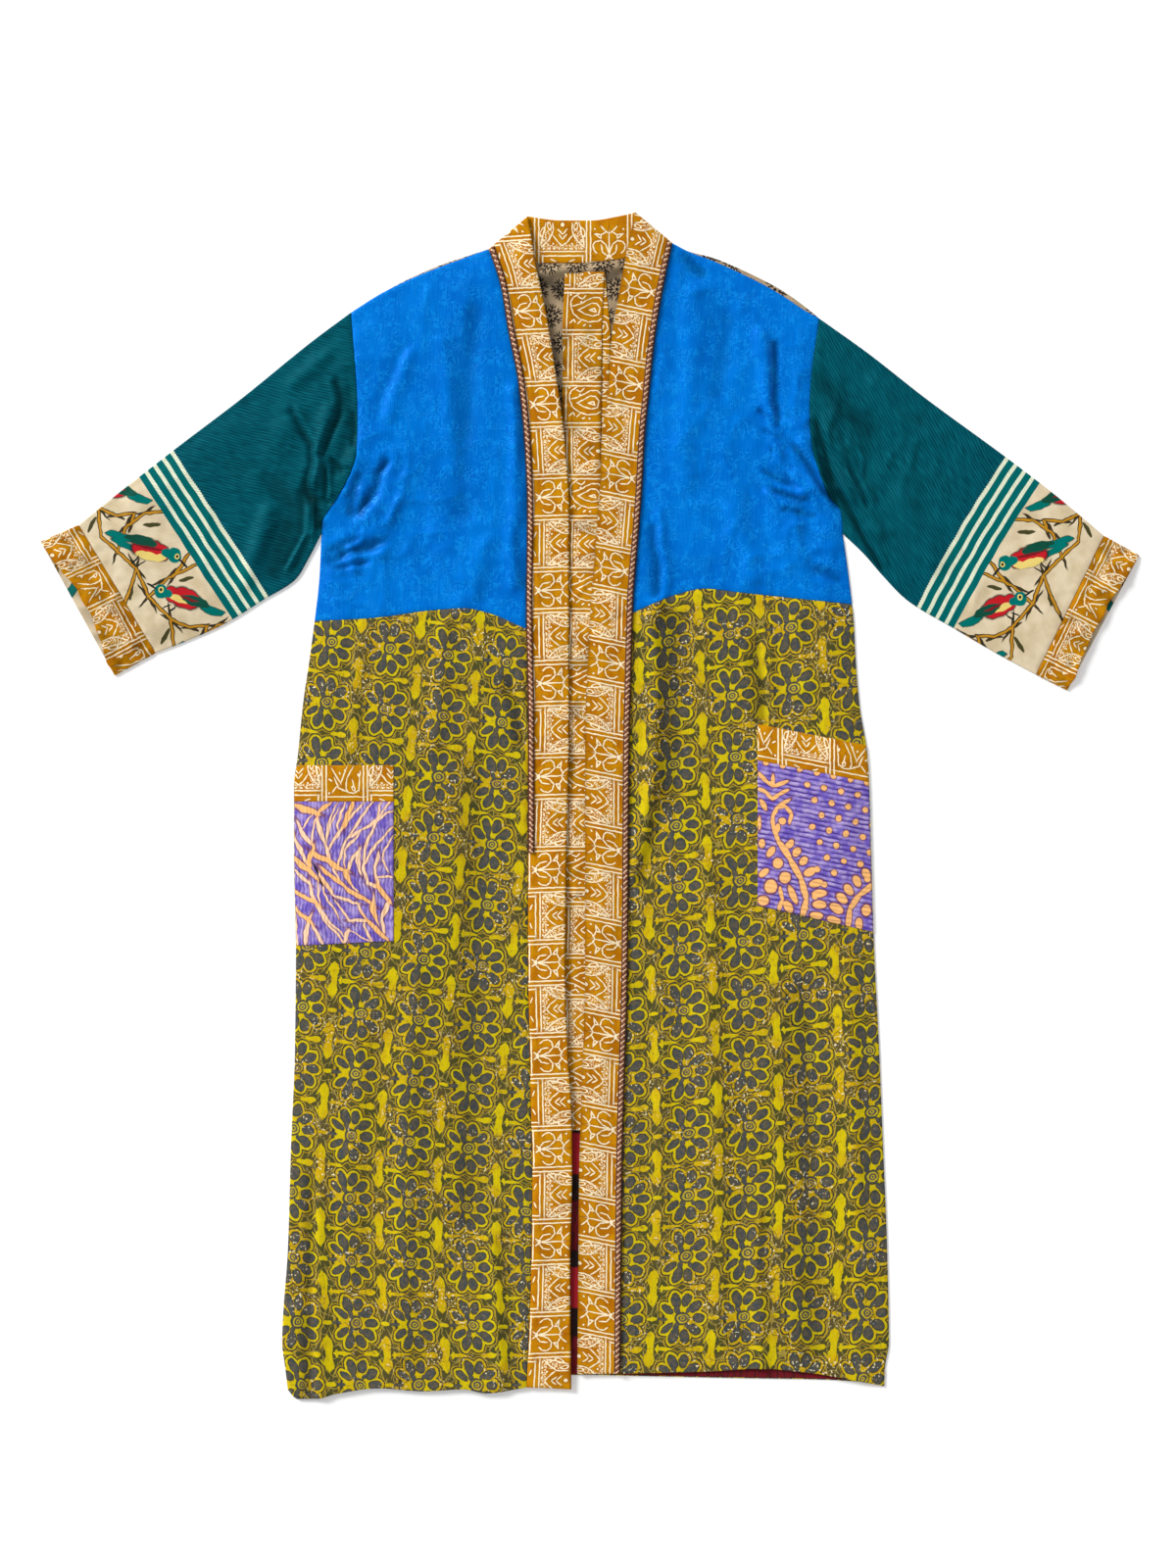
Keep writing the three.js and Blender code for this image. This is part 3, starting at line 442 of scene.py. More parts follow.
def gridPlaces(length, spacing, rim=rimLook["radius"]):
    # shares of a length for grid lines: an even spacing, with two closer lines at each end for a round rim
    count = max(3, round(length / spacing))
    inner = np.linspace(rim / length, 1 - rim / length, count + 1)
    close = np.array([0, 0.3 * rim / length])
    return np.concatenate([close, inner, 1 - close[::-1]])


def panelGrid(firstX, lastX, firstY, lastY, spacing):
    # points of a flat panel between two edges x(y) and two edges y(x), found by turns: x from y, y from x
    startX = 0.5 * (firstX(0.0) + lastX(0.0))
    middleY = (firstY(startX) + lastY(startX)) / 2
    width = abs(float(lastX(middleY) - firstX(middleY)))
    middleX = float(firstX(middleY) + lastX(middleY)) / 2
    length = abs(float(lastY(middleX) - firstY(middleX)))
    across = gridPlaces(width, spacing)
    along = gridPlaces(length, spacing)
    s, t = np.meshgrid(across, along)
    x = np.full(s.shape, middleX)
    y = blend(firstY(x), lastY(x), t)
    for _ in range(16):
        x = blend(firstX(y), lastX(y), s)
        y = blend(firstY(x), lastY(x), t)
    return x, y, np.minimum(s, 1 - s) * width, np.minimum(t, 1 - t) * length


def rimDrop(fromSides, fromEnds, depth=rimLook["depth"]):
    # the rounding of a cut or folded rim, from the distances to the nearest side and end
    radius = rimLook["radius"]
    return np.maximum(quarterRound(fromSides, radius, depth), quarterRound(fromEnds, radius, depth))


def makeMesh(name, points, faces, clothPlace, faceSlots=None, paintedShade=None):
    # puts arrays of points and four-sided faces into a mesh, with the place on the flat cloth as a map
    # and, where it is given, the painted shade at each point as an attribute
    corner = points[faces]
    crossed = np.cross(corner[:, 2] - corner[:, 0], corner[:, 3] - corner[:, 1])
    if (crossed * corner.mean(1)).sum() < 0:
        faces = faces[:, ::-1]
    mesh = bpy.data.meshes.new(name)
    mesh.vertices.add(len(points))
    mesh.vertices.foreach_set("co", (points / metre).astype(np.float32).ravel())
    mesh.loops.add(faces.size)
    mesh.loops.foreach_set("vertex_index", faces.astype(np.int32).ravel())
    mesh.polygons.add(len(faces))
    mesh.polygons.foreach_set("loop_start", np.arange(0, faces.size, 4, dtype=np.int32))
    if faceSlots is not None:
        mesh.polygons.foreach_set("material_index", faceSlots.astype(np.int32))
    mesh.update(calc_edges=True)
    mesh.validate()
    layer = mesh.uv_layers.new(name="cloth")
    layer.uv.foreach_set("vector", (clothPlace[faces.ravel()] / metre).astype(np.float32).ravel())
    if paintedShade is not None:
        shade = mesh.attributes.new("paintedShade", "FLOAT", "POINT")
        shade.data.foreach_set("value", paintedShade.astype(np.float32).ravel())
    mesh.shade_smooth()
    piece = bpy.data.objects.new(name, mesh)
    bpy.context.scene.collection.objects.link(piece)
    return piece


def gridFaces(rows, columns, start=0):
    # four-sided faces over a grid of points that are numbered row by row
    j, i = np.meshgrid(np.arange(rows - 1), np.arange(columns - 1), indexing="ij")
    first = start + j * columns + i
    return np.stack([first, first + 1, first + columns + 1, first + columns], -1).reshape(-1, 4)


def closedSheet(name, upperPoints, lowerPoints, place, paintedShade=None, lined=True):
    # a closed thin piece: two sheets over the same grid, joined round the rim. A lined piece has its
    # second cloth on the lower sheet.
    rows, columns = upperPoints.shape[:2]
    count = rows * columns
    points = np.concatenate([upperPoints.reshape(-1, 3), lowerPoints.reshape(-1, 3)])
    upper = gridFaces(rows, columns)
    lower = gridFaces(rows, columns, count)[:, ::-1]
    index = np.arange(count).reshape(rows, columns)
    rim = np.concatenate([index[0, :-1], index[:-1, -1], index[-1, :0:-1], index[:0:-1, 0]])
    after = np.roll(rim, -1)
    walls = np.stack([rim, rim + count, after + count, after], -1)
    faces = np.concatenate([upper, lower, walls])
    slots = np.concatenate([np.zeros(len(upper)), np.ones(len(lower)), np.zeros(len(walls))])
    shade = None if paintedShade is None else np.tile(paintedShade.ravel(), 2)
    places = np.tile(place.reshape(-1, 2), (2, 1))
    return makeMesh(name, points, faces, places, slots if lined else None, shade)


def shell(name, x, y, top, bottom, place, paintedShade=None):
    # a closed sheet whose upper and lower faces lie straight above each other
    return closedSheet(name, np.stack([x, y, top], -1), np.stack([x, y, bottom], -1), place, paintedShade)


def ringFaces(rings, around, start=0):
    # four-sided faces between rings of points that are numbered ring by ring
    ring, turn = np.meshgrid(np.arange(rings - 1), np.arange(around), indexing="ij")
    a = start + ring * around + turn
    b = start + ring * around + (turn + 1) % around
    return np.stack([a, b, b + around, a + around], -1).reshape(-1, 4)


def tube(name, outer, inner, place, paintedShade):
    # a closed wall round an open tube, from an outer and an inner set of rings
    rings, around, _ = outer.shape
    count = rings * around
    outside = ringFaces(rings, around)
    inside = outside[:, ::-1] + count
    turns = np.arange(around)
    following = (turns + 1) % around
    last = (rings - 1) * around
    nearEnd = np.stack([turns, turns + count, following + count, following], -1)
    farEnd = np.stack([following, following + count, turns + count, turns], -1) + last
    points = np.concatenate([outer.reshape(-1, 3), inner.reshape(-1, 3)])
    faces = np.concatenate([outside, inside, nearEnd, farEnd])
    slots = np.concatenate([np.zeros(len(outside)), np.ones(len(inside)), np.zeros(2 * around)])
    shade = np.tile(paintedShade.ravel(), 2)
    return makeMesh(name, points, faces, np.tile(place.reshape(-1, 2), (2, 1)), slots, shade)


def flowerPlace(side, x, y):
    # place on the flower print, whose columns and rows tilt on each front and come level at the hem
    look = flowerLook[side]
    tilt = ease((y + 620) / 330)
    columnX, columnY = look["column"][0], look["column"][1] * tilt
    rowX, rowY = look["row"][0] * tilt, look["row"][1]
    dx, dy = x - look["flower"][0], y - look["flower"][1]
    area = columnX * rowY - columnY * rowX
    a = (dx * rowY - dy * rowX) / area
    b = (columnX * dy - columnY * dx) / area
    return np.stack([a * flowerLook["cell"][0], b * flowerLook["cell"][1]], -1)


flowerLook = {
    "cell": (61.0, 62.5),
    "right": {"flower": (-175, -218.6), "column": (59.5, -7), "row": (5, 62)},
    "left": {"flower": (89.5, -83.5), "column": (62.4, 7.3), "row": (-2.5, 62.7)},
    "back": {"flower": (0, 0), "column": (61, 0), "row": (0, 62.5)},
}


def colour(red, green, blue):
    # a colour as it is seen, 0 to 255, in linear values
    seen = np.array([red, green, blue]) / 255
    linear = np.where(seen <= 0.04045, seen / 12.92, ((seen + 0.055) / 1.055) ** 2.4)
    return (*linear.tolist(), 1.0)


class Dyeing:
    # the node tree of one cloth; each value given to it is a socket or a plain number

    def __init__(self, name):
        self.material = bpy.data.materials.new(name)
        self.material.use_nodes = True
        self.tree = self.material.node_tree
        self.tree.nodes.clear()
        self.shader = self.made("BsdfPrincipled")
        self.made("OutputMaterial", Surface=self.shader.outputs[0])
        clothMap = self.made("UVMap")
        clothMap.uv_map = "cloth"
        self.cloth = self.vector("SCALE", clothMap.outputs["UV"], scale=metre)

    def made(self, kind, **values):
        # a new node with its named sockets filled
        node = self.tree.nodes.new("ShaderNode" + kind)
        for name, value in values.items():
            self.put(node.inputs[name], value)
        return node

    def put(self, socket, value):
        # links a socket to another, or sets its own value
        if isinstance(value, bpy.types.NodeSocket):
            self.tree.links.new(value, socket)
        else:
            socket.default_value = value

    def filled(self, node, values):
        # puts values into a node's sockets in their order
        for socket, value in zip(node.inputs, values):
            self.put(socket, value)
        return node

    def number(self, operation, *values):
        # one sum of plain numbers
        node = self.made("Math")
        node.operation = operation
        return self.filled(node, values).outputs[0]

    times = partialmethod(number, "MULTIPLY")
    plus = partialmethod(number, "ADD")
    minus = partialmethod(number, "SUBTRACT")
    over = partialmethod(number, "DIVIDE")
    smaller = partialmethod(number, "MINIMUM")
    larger = partialmethod(number, "MAXIMUM")
    unsigned = partialmethod(number, "ABSOLUTE")

    def wave(self, value, pitch):
        # a sine that repeats after each pitch
        return self.number("SINE", self.times(value, 2 * math.pi / pitch))

    def vector(self, operation, *values, scale=None):
        # one sum of places, whose result is a place or a single number
        node = self.made("VectorMath")
        node.operation = operation
        self.filled(node, values)
        if scale is not None:
            self.put(node.inputs["Scale"], scale)
        single = operation in ("LENGTH", "DOT_PRODUCT")
        return node.outputs["Value" if single else "Vector"]

    def parts(self, vector):
        # x and y of a place
        node = self.made("SeparateXYZ", Vector=vector)
        return node.outputs[0], node.outputs[1]

    def joined(self, x, y):
        # a place from its x and y
        return self.made("CombineXYZ", X=x, Y=y).outputs[0]

    def placed(self, place, location=(0, 0), turn=0, scale=(1, 1)):
        # the place as read from a frame that is moved, turned and scaled
        turned = (0, 0, math.radians(turn))
        node = self.made("Mapping", Vector=place, Location=(*location, 0), Rotation=turned, Scale=(*scale, 1))
        node.vector_type = "TEXTURE"
        return node.outputs[0]

    def noise(self, place, size, detail=2.0, coloured=False):
        # cloudy values from 0 to 1, whose clouds are about the size across
        node = self.made("TexNoise", Vector=place, Scale=1 / size, Detail=detail)
        node.noise_dimensions = "2D"
        return node.outputs[1 if coloured else 0]

    def cells(self, place, size):
        # the distance to the nearest of scattered points
        node = self.made("TexVoronoi", Vector=place, Scale=1 / size)
        node.voronoi_dimensions = "2D"
        return node.outputs["Distance"]

    def wobbled(self, place, size, amount):
        # the place moved a little by noise, as a hand-printed line wanders
        noise = self.noise(place, size, detail=1.0, coloured=True)
        centred = self.vector("SUBTRACT", noise, (0.5, 0.5, 0.5))
        moved = self.vector("MULTIPLY", centred, (2 * amount, 2 * amount, 0))
        return self.vector("ADD", place, moved)

    def ranged(self, value, low, high, lowest=0.0, highest=1.0):
        # the value's share of the way from low to high, as a value from lowest to highest
        return self.filled(self.made("MapRange"), (value, low, high, lowest, highest)).outputs[0]

    def dab(self, place, x, y, halfLength, halfWidth, turn=0):
        # an oval of dye: 0 in its middle and 1 on its edge
        return self.vector("LENGTH", self.placed(place, (x, y), turn, (halfLength, halfWidth)))

    def ring(self, place, x, y, halfLength, halfWidth, line, turn=0):
        # an oval line: 0 along its middle and 1 on both its edges
        size = (halfLength + halfWidth) / 2 / line
        oval = self.dab(place, x, y, halfLength, halfWidth, turn)
        return self.unsigned(self.number("MULTIPLY_ADD", oval, size, -size))

    def dabs(self, place, rows):
        # the nearest of several dabs
        return self.nearest(self.dab(place, *row) for row in rows)

    def nearest(self, fields):
        # the least of the fields, joined one by one as they are made
        least = None
        for field in fields:
            least = field if least is None else self.smaller(least, field)
        return least

    def strokes(self, place, lines, width):
        # brush strokes: a dab along each straight piece of each line
        for line in lines:
            for (x0, y0), (x1, y1) in zip(line, line[1:]):
                length = math.hypot(x1 - x0, y1 - y0)
                turn = math.degrees(math.atan2(y1 - y0, x1 - x0))
                yield self.dab(place, (x0 + x1) / 2, (y0 + y1) / 2, 0.6 * length + 0.3 * width, width, turn)

    def line(self, value, at, halfWidth):
        # a straight line across the cloth: 0 along its middle and 1 on both edges
        return self.unsigned(self.number("MULTIPLY_ADD", value, 1 / halfWidth, -at / halfWidth))

    def within(self, field, soft=0.2, edge=1.0):
        # 1 inside the edge of a field and 0 outside it
        return self.ranged(field, edge + soft, edge - soft)

    def dyed(self, amount, under, over):
        # one colour laid over another by an amount from 0 to 1
        node = self.made("Mix")
        node.data_type = "RGBA"
        self.put(node.inputs[0], amount)
        self.put(node.inputs[6], under)
        self.put(node.inputs[7], over)
        return node.outputs[2]

    def centred(self, value, period, start=0.0):
        # how far from the middle of its repeat, in millimetres
        return self.minus(self.repeated(value, period, start), period / 2)

    def streaks(self, size, stretch, detail=1.0):
        # noise on the cloth that is stretched across and along it
        return self.noise(self.placed(self.cloth, scale=stretch), size, detail=detail)

    def repeated(self, value, period, start=0.0):
        # how far past the last repeat, in millimetres
        shifted = self.number("MULTIPLY_ADD", value, 1 / period, -start / period)
        return self.times(self.number("FRACT", shifted), period)

    def finished(self, colours, roughness, height, relief, specular=0.25, sheen=0.0, tint=None):
        # the shader's sockets: colour, darkened by the piece's painted shade, roughness, and a bump
        # from a height of the given relief
        # the painted shade that a piece carries, from 0 to 1, takes its share off the colour
        paintedShade = self.made("Attribute")
        paintedShade.attribute_name = "paintedShade"
        left = self.minus(1.0, paintedShade.outputs["Fac"])
        shown = {"Base Color": self.vector("SCALE", colours, scale=left), "Roughness": roughness,
                 "Specular IOR Level": specular, "Sheen Weight": sheen, "Sheen Roughness": 0.4}
        if tint:
            shown.update({"Specular Tint": tint, "Sheen Tint": tint})
        bump = self.made("Bump", Strength=1.0, Distance=relief / metre, Height=height)
        shown["Normal"] = bump.outputs[0]
        for name, value in shown.items():
            self.put(self.shader.inputs[name], value)
        return self.material

    def plainWeave(self, pitch=0.8):
        # warp and weft as two crossed waves, broken by slubs of thicker thread
        x, y = self.parts(self.cloth)
        warp = self.wave(x, pitch)
        weft = self.wave(y, pitch)
        threads = self.times(self.times(warp, weft), 0.25)
        slubs = self.streaks(1.3, (9, 1))
        return self.plus(threads, slubs)


# Ochre batik: cream lines left bare by the wax, in two blocks that take turns along the strip
ochreLook = {
    "ochre": colour(200, 136, 0), "deep": colour(180, 110, 0), "edge": colour(150, 86, 0),
    "cream": colour(255, 238, 198), "repeat": 94.8, "leafBlock": 26.4, "secondSeparator": 52.8,
    "secondBlock": 73.8, "separatorHalf": 2.1, "lineHalf": 0.72, "bracketAt": 6.6, "bracketHalf": 20.6,
    "turnedAt": 20.4, "turnedEnd": 7.2, "barAt": 11.2, "barHalf": 23.0,
}
# Charts of the blocks: places across the strip and away from the middle of the block. Where a block
# is mirrored, only one half is charted.
motifs = {
    "leaf": {
        "mirrored": True,
        "lines": [
            [(17, 0), (20.5, 4.4), (27, 9.6)], [(15.5, 21.5), (21, 16), (28, 11), (33, 9.8), (40, 10)],
            [(18, 22), (28, 20), (40, 17)], [(24, 0.4), (28.5, 3.8)], [(29, 0.4), (34, 4.8)],
            [(1, 7), (3, 12)],
        ],
        "ovals": [(31, 20.5, 4.6, 1.9, 0.7, -20), (37, 13.6, 3.6, 1.7, 0.7, 10)],
        "dots": [(38.5, 0, 2.2, 1.8, 0), (14, 3, 1, 1, 0), (14, 8.5, 1, 1, 0), (14, 14, 1, 1, 0),
                 (14, 19.5, 1, 1, 0), (22.5, 19.5, 1.3, 0.8, 30), (19, 9.5, 1, 1, 0), (17.5, 14.5, 1, 1, 0)],
    },
    "scroll": {
        "mirrored": True,
        "lines": [
            [(9.6, 0.6), (12.6, 1.2), (18, 3.2), (22.4, 8.2), (21.4, 13.8), (17.6, 16.4), (12.6, 15.6),
             (9.4, 12.6)],
            [(7.6, 3), (10.6, 6.8), (17.6, 8)], [(3, 3.6), (6.4, 0.6)], [(6, 0), (30, 0)],
            [(30, 0.8), (32.4, 4.4), (37, 8)], [(24.4, 8.4), (29, 14.4), (28.4, 8.2), (24.4, 8.4)],
            [(28.4, 8), (30.8, 3.4)], [(0.4, 0), (0.4, 19)],
        ],
        "ovals": [],
        "dots": [(6.6, 1, 1.6, 1.6, 0), (34, 14.6, 1.3, 0.8, 40)],
    },
    "paisley": {
        "mirrored": False,
        "lines": [
            [(16.4, 18), (10.6, 14.4), (8.4, 10), (9, 3.4), (12, -2.8), (18.4, -7.8), (27, -10.6),
             (36, -10), (41, -7)],
            [(10.6, 5.6), (18.4, 7.8), (25, 11.6), (30, 14), (37, 14.2), (41, 10)],
            [(16.4, 1.6), (24, 5.4), (29.6, 8.6), (35, 8.2), (38.6, 3.2), (37, -3.4), (30.6, -4.6),
             (23, -2.4), (16.4, 1.6)],
            [(27.6, 1.4), (33, 3), (34.4, -0.6), (27.6, 1.4)], [(8.4, -11.4), (12.4, -8), (14, -11)],
            [(16, -12.4), (19.6, -9.6)], [(15.4, 15), (19.8, 12.8), (23.4, 16.2)], [(5, -19), (5, 19)],
        ],
        "ovals": [],
        "dots": [(19, 9.8, 1.3, 0.9, 60), (23, -14, 1.9, 0.9, 30), (29, -14.4, 1.3, 1, 0),
                 (8, 17, 1.2, 0.9, 0)],
    },
    "hook": {
        "mirrored": False,
        "lines": [
            [(31, -15.6), (24, -15), (12, -14.6), (8.6, -9), (9.4, -3.6), (14, -1), (24, -2.4), (35, -8)],
            [(35, -2), (19, 4.2), (33, 13)], [(9.4, -3.6), (14, 6.4), (24, 10.4)], [(22, -7.6), (14, -9.6)],
            [(15, 8.6), (9.4, 12.8)], [(5, -19), (5, 19)], [(5, -19), (40, -19)], [(5, 19), (40, 19)],
        ],
        "ovals": [(13.4, -9, 2.2, 1.5, 0.6, 20)],
        "dots": [(27, -14, 1.8, 1.2, 30), (22, 14.6, 2.4, 0.9, 50), (8.6, 16, 1.2, 1, 0),
                 (29, 5, 1.6, 0.8, 20), (32, 0, 1.3, 0.8, 0), (12, 2, 1.2, 0.9, 0)],
    },
}


def motifFields(d, place, motif, width):
    # the strokes, ovals and dots of one chart
    chart = motifs[motif]
    yield from d.strokes(place, chart["lines"], width)
    yield from (d.ring(place, *oval) for oval in chart["ovals"])
    yield from (d.dab(place, *dot) for dot in chart["dots"])


def ochreBatik(name, secondMotif, wobble=0.5):
    # the leaf block and a second block in each repeat, folded over its middle where it is mirrored,
    # with cream where the nearest line is within its width
    look = ochreLook
    d = Dyeing(name)
    place = d.wobbled(d.cloth, 5.0, wobble)
    across, along = d.parts(place)
    step = d.repeated(along, look["repeat"])
    leafAway = d.unsigned(d.minus(step, look["leafBlock"]))
    secondAway = d.minus(step, look["secondBlock"])
    if motifs[secondMotif]["mirrored"]:
        secondAway = d.unsigned(secondAway)
    inLeaf = d.joined(across, leafAway)
    inSecond = d.joined(across, secondAway)
    width = look["lineHalf"]

    def allLines():
        yield from motifFields(d, inLeaf, "leaf", width)
        yield from motifFields(d, inSecond, secondMotif, width)
        # separators: the distance to the nearest pair of lines, then to either line of the pair
        toFirst = d.number("PINGPONG", step, look["repeat"] / 2)
        toSecond = d.unsigned(d.minus(step, look["secondSeparator"]))
        toPair = d.smaller(toFirst, toSecond)
        yield d.line(toPair, look["separatorHalf"], width)
        # the bracket beside the leaf: two long bars and the turned ends of the first
        bracket = d.larger(d.line(across, look["bracketAt"], width), d.over(leafAway, look["bracketHalf"]))
        bar = d.larger(d.line(across, look["barAt"], width), d.over(leafAway, look["barHalf"]))
        turned = d.larger(d.line(leafAway, look["turnedAt"], width), d.over(across, look["turnedEnd"]))
        yield d.smaller(bracket, d.smaller(bar, turned))

    field = d.nearest(allLines())
    # stipple between the leaf and its frame
    grains = d.cells(place, 1.9)
    besideLeaf = d.smaller(d.dab(inLeaf, 24, 17, 10, 5, -24), d.dab(inLeaf, 15.5, 9, 2.6, 14, 0))
    stipple = d.times(d.within(besideLeaf, 0.15), d.within(grains, 0.12, 0.34))
    soaked = d.noise(d.cloth, 20.0, detail=3.0)
    ochre = d.dyed(d.ranged(soaked, 0.38, 0.62), look["ochre"], look["deep"])
    edged = d.dyed(d.ranged(field, 2.0, 1.2, 0.0, 0.8), ochre, look["edge"])
    lined = d.dyed(d.within(field, 0.2), edged, look["cream"])
    speckled = d.dyed(d.times(stipple, 0.9), lined, look["cream"])
    threads = d.streaks(0.9, (1, 14))
    dusty = d.dyed(d.ranged(threads, 0.3, 0.75, 0.0, 0.12), speckled, look["edge"])
    return d.finished(dusty, 0.84, d.plainWeave(0.9), 0.12, specular=0.08)


# Flower print: yellow shapes and slate petals on a grey-green ground, each flower mirrored across itself
printLook = {
    "yellow": colour(212, 190, 0), "gold": colour(204, 166, 0), "petal": colour(94, 86, 72),
    "bluePetal": colour(66, 72, 76), "petalEdge": colour(44, 50, 44), "ground": colour(74, 72, 34),
    "brown": colour(88, 76, 42), "vein": colour(188, 164, 70), "cream": colour(240, 226, 184),
    "barShift": 14.0, "petalRim": 2.5,
}
# Dabs of the print in a cell round the flower's middle: place, half length, half width and turn
yellowDabs = [
    (-29.5, 31.0, 19.0, 3.4, 88), (-30.2, 21.0, 7.6, 5.0, 90), (14.6, 31.2, 8.2, 2.2, 0),
    (18.0, 31.2, 5.0, 3.2, 0), (-29.0, 0, 5.2, 2.2, 0), (-16.0, 31.2, 9.0, 1.8, 0),
    (-22.0, 31.2, 1.5, 4.0, 0), (24.5, 22.4, 4.2, 0.9, -58),
]
flowerPetals = [
    (16.8, 0, 6.4, 4.8, 0), (13.4, 11.4, 7.0, 4.8, 38), (4.2, 18.6, 6.8, 5.0, 76),
    (-6.6, 18.2, 8.2, 4.8, 112), (-13.8, 9.6, 7.4, 3.6, 142),
]
flowerHeart = [
    (-19.0, 0, 5.2, 1.9, 0), (0.6, 0, 6.8, 6.8, 0), (-4.6, 8.6, 4.8, 2.6, 112), (6.4, 8.6, 3.6, 2.0, 50),
]
rimFillers = [(1.0, 0, 18.0, 20.0, 0)]
detailDabs = [(-11.4, 0, 3.0, 2.8, 0), (10.8, 3.6, 2.6, 0.5, 30)]
veinDabs = [
    (25.0, 11.0, 8.0, 0.6, -82), (20.4, 21.0, 5.4, 0.55, -50), (-24.6, 14.0, 8.0, 0.6, 70),
    (-17.0, 24.6, 5.0, 0.5, 40), (7.6, 27.4, 4.4, 0.45, -6), (25.4, 27.0, 3.2, 0.45, -70),
    (28.4, 3.6, 3.6, 0.45, 60),
]


def flowerPrint():
    # from below upwards: ground and veins, the yellow shapes, the petals with their dark edge, the
    # rosette in the middle, and cream specks as painted glints, and wear, over all
    look = printLook
    d = Dyeing("flower print silk")
    place = d.wobbled(d.wobbled(d.cloth, 15.0, 1.6), 3.6, 0.7)
    x, y = d.parts(place)
    width, length = flowerLook["cell"]
    cellX = d.centred(x, width, -width / 2)
    cellY = d.centred(y, length, -length / 2)
    # the bars on the flower's left lie across the edge of the cell, so their place is wrapped round
    cell = d.joined(cellX, d.unsigned(cellY))
    shift = look["barShift"]
    wrappedX = d.minus(d.repeated(d.plus(x, shift), width, -width / 2), width / 2 + shift)
    wrapped = d.joined(wrappedX, d.unsigned(cellY))
    bars = d.dabs(wrapped, (row for row in yellowDabs if row[0] < 0))
    clubs = d.dabs(cell, (row for row in yellowDabs if row[0] > 0))
    # the flower's yellow field: each petal again, wider by the rim, so that its outline is scalloped
    rim = look["petalRim"]
    grown = [(px, py, half + rim, wide + rim, turn) for px, py, half, wide, turn in flowerPetals]
    field = d.dabs(cell, grown + rimFillers)
    shapes = d.smaller(field, d.smaller(bars, clubs))
    petals = d.dabs(cell, flowerPetals + flowerHeart)
    veins = d.dabs(cell, veinDabs)
    details = d.dabs(cell, detailDabs)
    rosette = d.smaller(details, d.ring(cell, 1.2, 0, 4.6, 4.2, 0.7))
    rosette = d.smaller(rosette, d.ring(cell, 1.2, 0.2, 1.5, 1.4, 0.5))
    # strokes that wander like a wax line: where a smooth noise passes through its middle value
    wander = d.unsigned(d.minus(d.noise(d.cloth, 12.0, detail=0.0), 0.5))
    strokes = d.ranged(wander, 0.028, 0.018)
    uneven = d.noise(d.cloth, 34.0, detail=3.0)
    patchy = d.noise(d.cloth, 4.2, detail=2.0)
    yellow = d.dyed(d.ranged(uneven, 0.4, 0.62), look["yellow"], look["gold"])
    yellow = d.dyed(d.ranged(patchy, 0.62, 0.8, 0.0, 0.5), yellow, look["ground"])
    inked = d.times(strokes, d.ranged(uneven, 0.46, 0.58, 0.0, 0.8))
    yellow = d.dyed(inked, yellow, look["ground"])
    slate = d.dyed(d.ranged(patchy, 0.4, 0.62), look["petal"], look["bluePetal"])
    ground = d.dyed(d.ranged(uneven, 0.4, 0.6), look["ground"], look["brown"])
    drawn = d.larger(d.within(veins, 0.5), d.times(strokes, 0.8))
    veined = d.dyed(d.times(drawn, 0.75), ground, look["vein"])
    # a yellow line round the flower, outside the dark outline of its field
    ringed = d.dyed(d.times(d.within(field, 0.04, 1.3), 0.65), veined, look["gold"])
    ringed = d.dyed(d.within(field, 0.04, 1.17), ringed, look["petalEdge"])
    shaped = d.dyed(d.within(shapes, 0.05), ringed, yellow)
    outlined = d.dyed(d.within(petals, 0.08, 1.04), shaped, look["petalEdge"])
    flowered = d.dyed(d.within(petals, 0.1, 0.86), outlined, slate)
    centred = d.dyed(d.times(d.within(rosette, 0.35), 0.85), flowered, yellow)
    # painted glints: cream specks in loose clusters
    clusters = d.ranged(d.noise(d.cloth, 34.0, detail=2.0), 0.52, 0.66)
    specks = d.ranged(d.noise(d.cloth, 2.8, detail=1.0), 0.66, 0.71)
    glintSpeckled = d.dyed(d.times(clusters, specks), centred, look["cream"])
    worn = d.ranged(d.streaks(1.6, (1, 5), 2.0), 0.35, 0.75, 0.0, 0.24)
    faded = d.dyed(worn, glintSpeckled, look["ground"])
    return d.finished(faded, 0.72, d.plainWeave(0.7), 0.10, specular=0.1)


def blueJacquard():
    # tone-on-tone scrolls: the contour lines of a strongly bent noise, brighter than the ground
    d = Dyeing("blue jacquard silk")
    swirlPlace = d.wobbled(d.cloth, 12.0, 8.0)
    swirl = d.noise(swirlPlace, 12.0, detail=1.2)
    contour = d.number("PINGPONG", d.times(swirl, 7.0), 0.5)
    patches = d.ranged(d.noise(d.cloth, 15.0, detail=1.0), 0.36, 0.56, 0.15, 1.0)
    figure = d.times(d.ranged(contour, 0.2, 0.36), patches)
    cloud = d.streaks(42.0, (1, 2.2), 3.0)
    threads = d.streaks(0.9, (1, 26))
    ground = d.dyed(d.ranged(cloud, 0.38, 0.64), colour(0, 104, 199), colour(0, 117, 213))
    figured = d.dyed(d.times(figure, 0.75), ground, colour(16, 140, 230))
    streaked = d.dyed(d.ranged(threads, 0.35, 0.7, 0.0, 0.4), figured, colour(0, 86, 178))
    roughness = d.ranged(figure, 0, 1, 0.46, 0.3)
    height = d.plus(d.times(figure, 0.8), d.times(threads, 0.5))
    return d.finished(streaked, roughness, height, 0.16, specular=0.5, tint=colour(20, 140, 255))


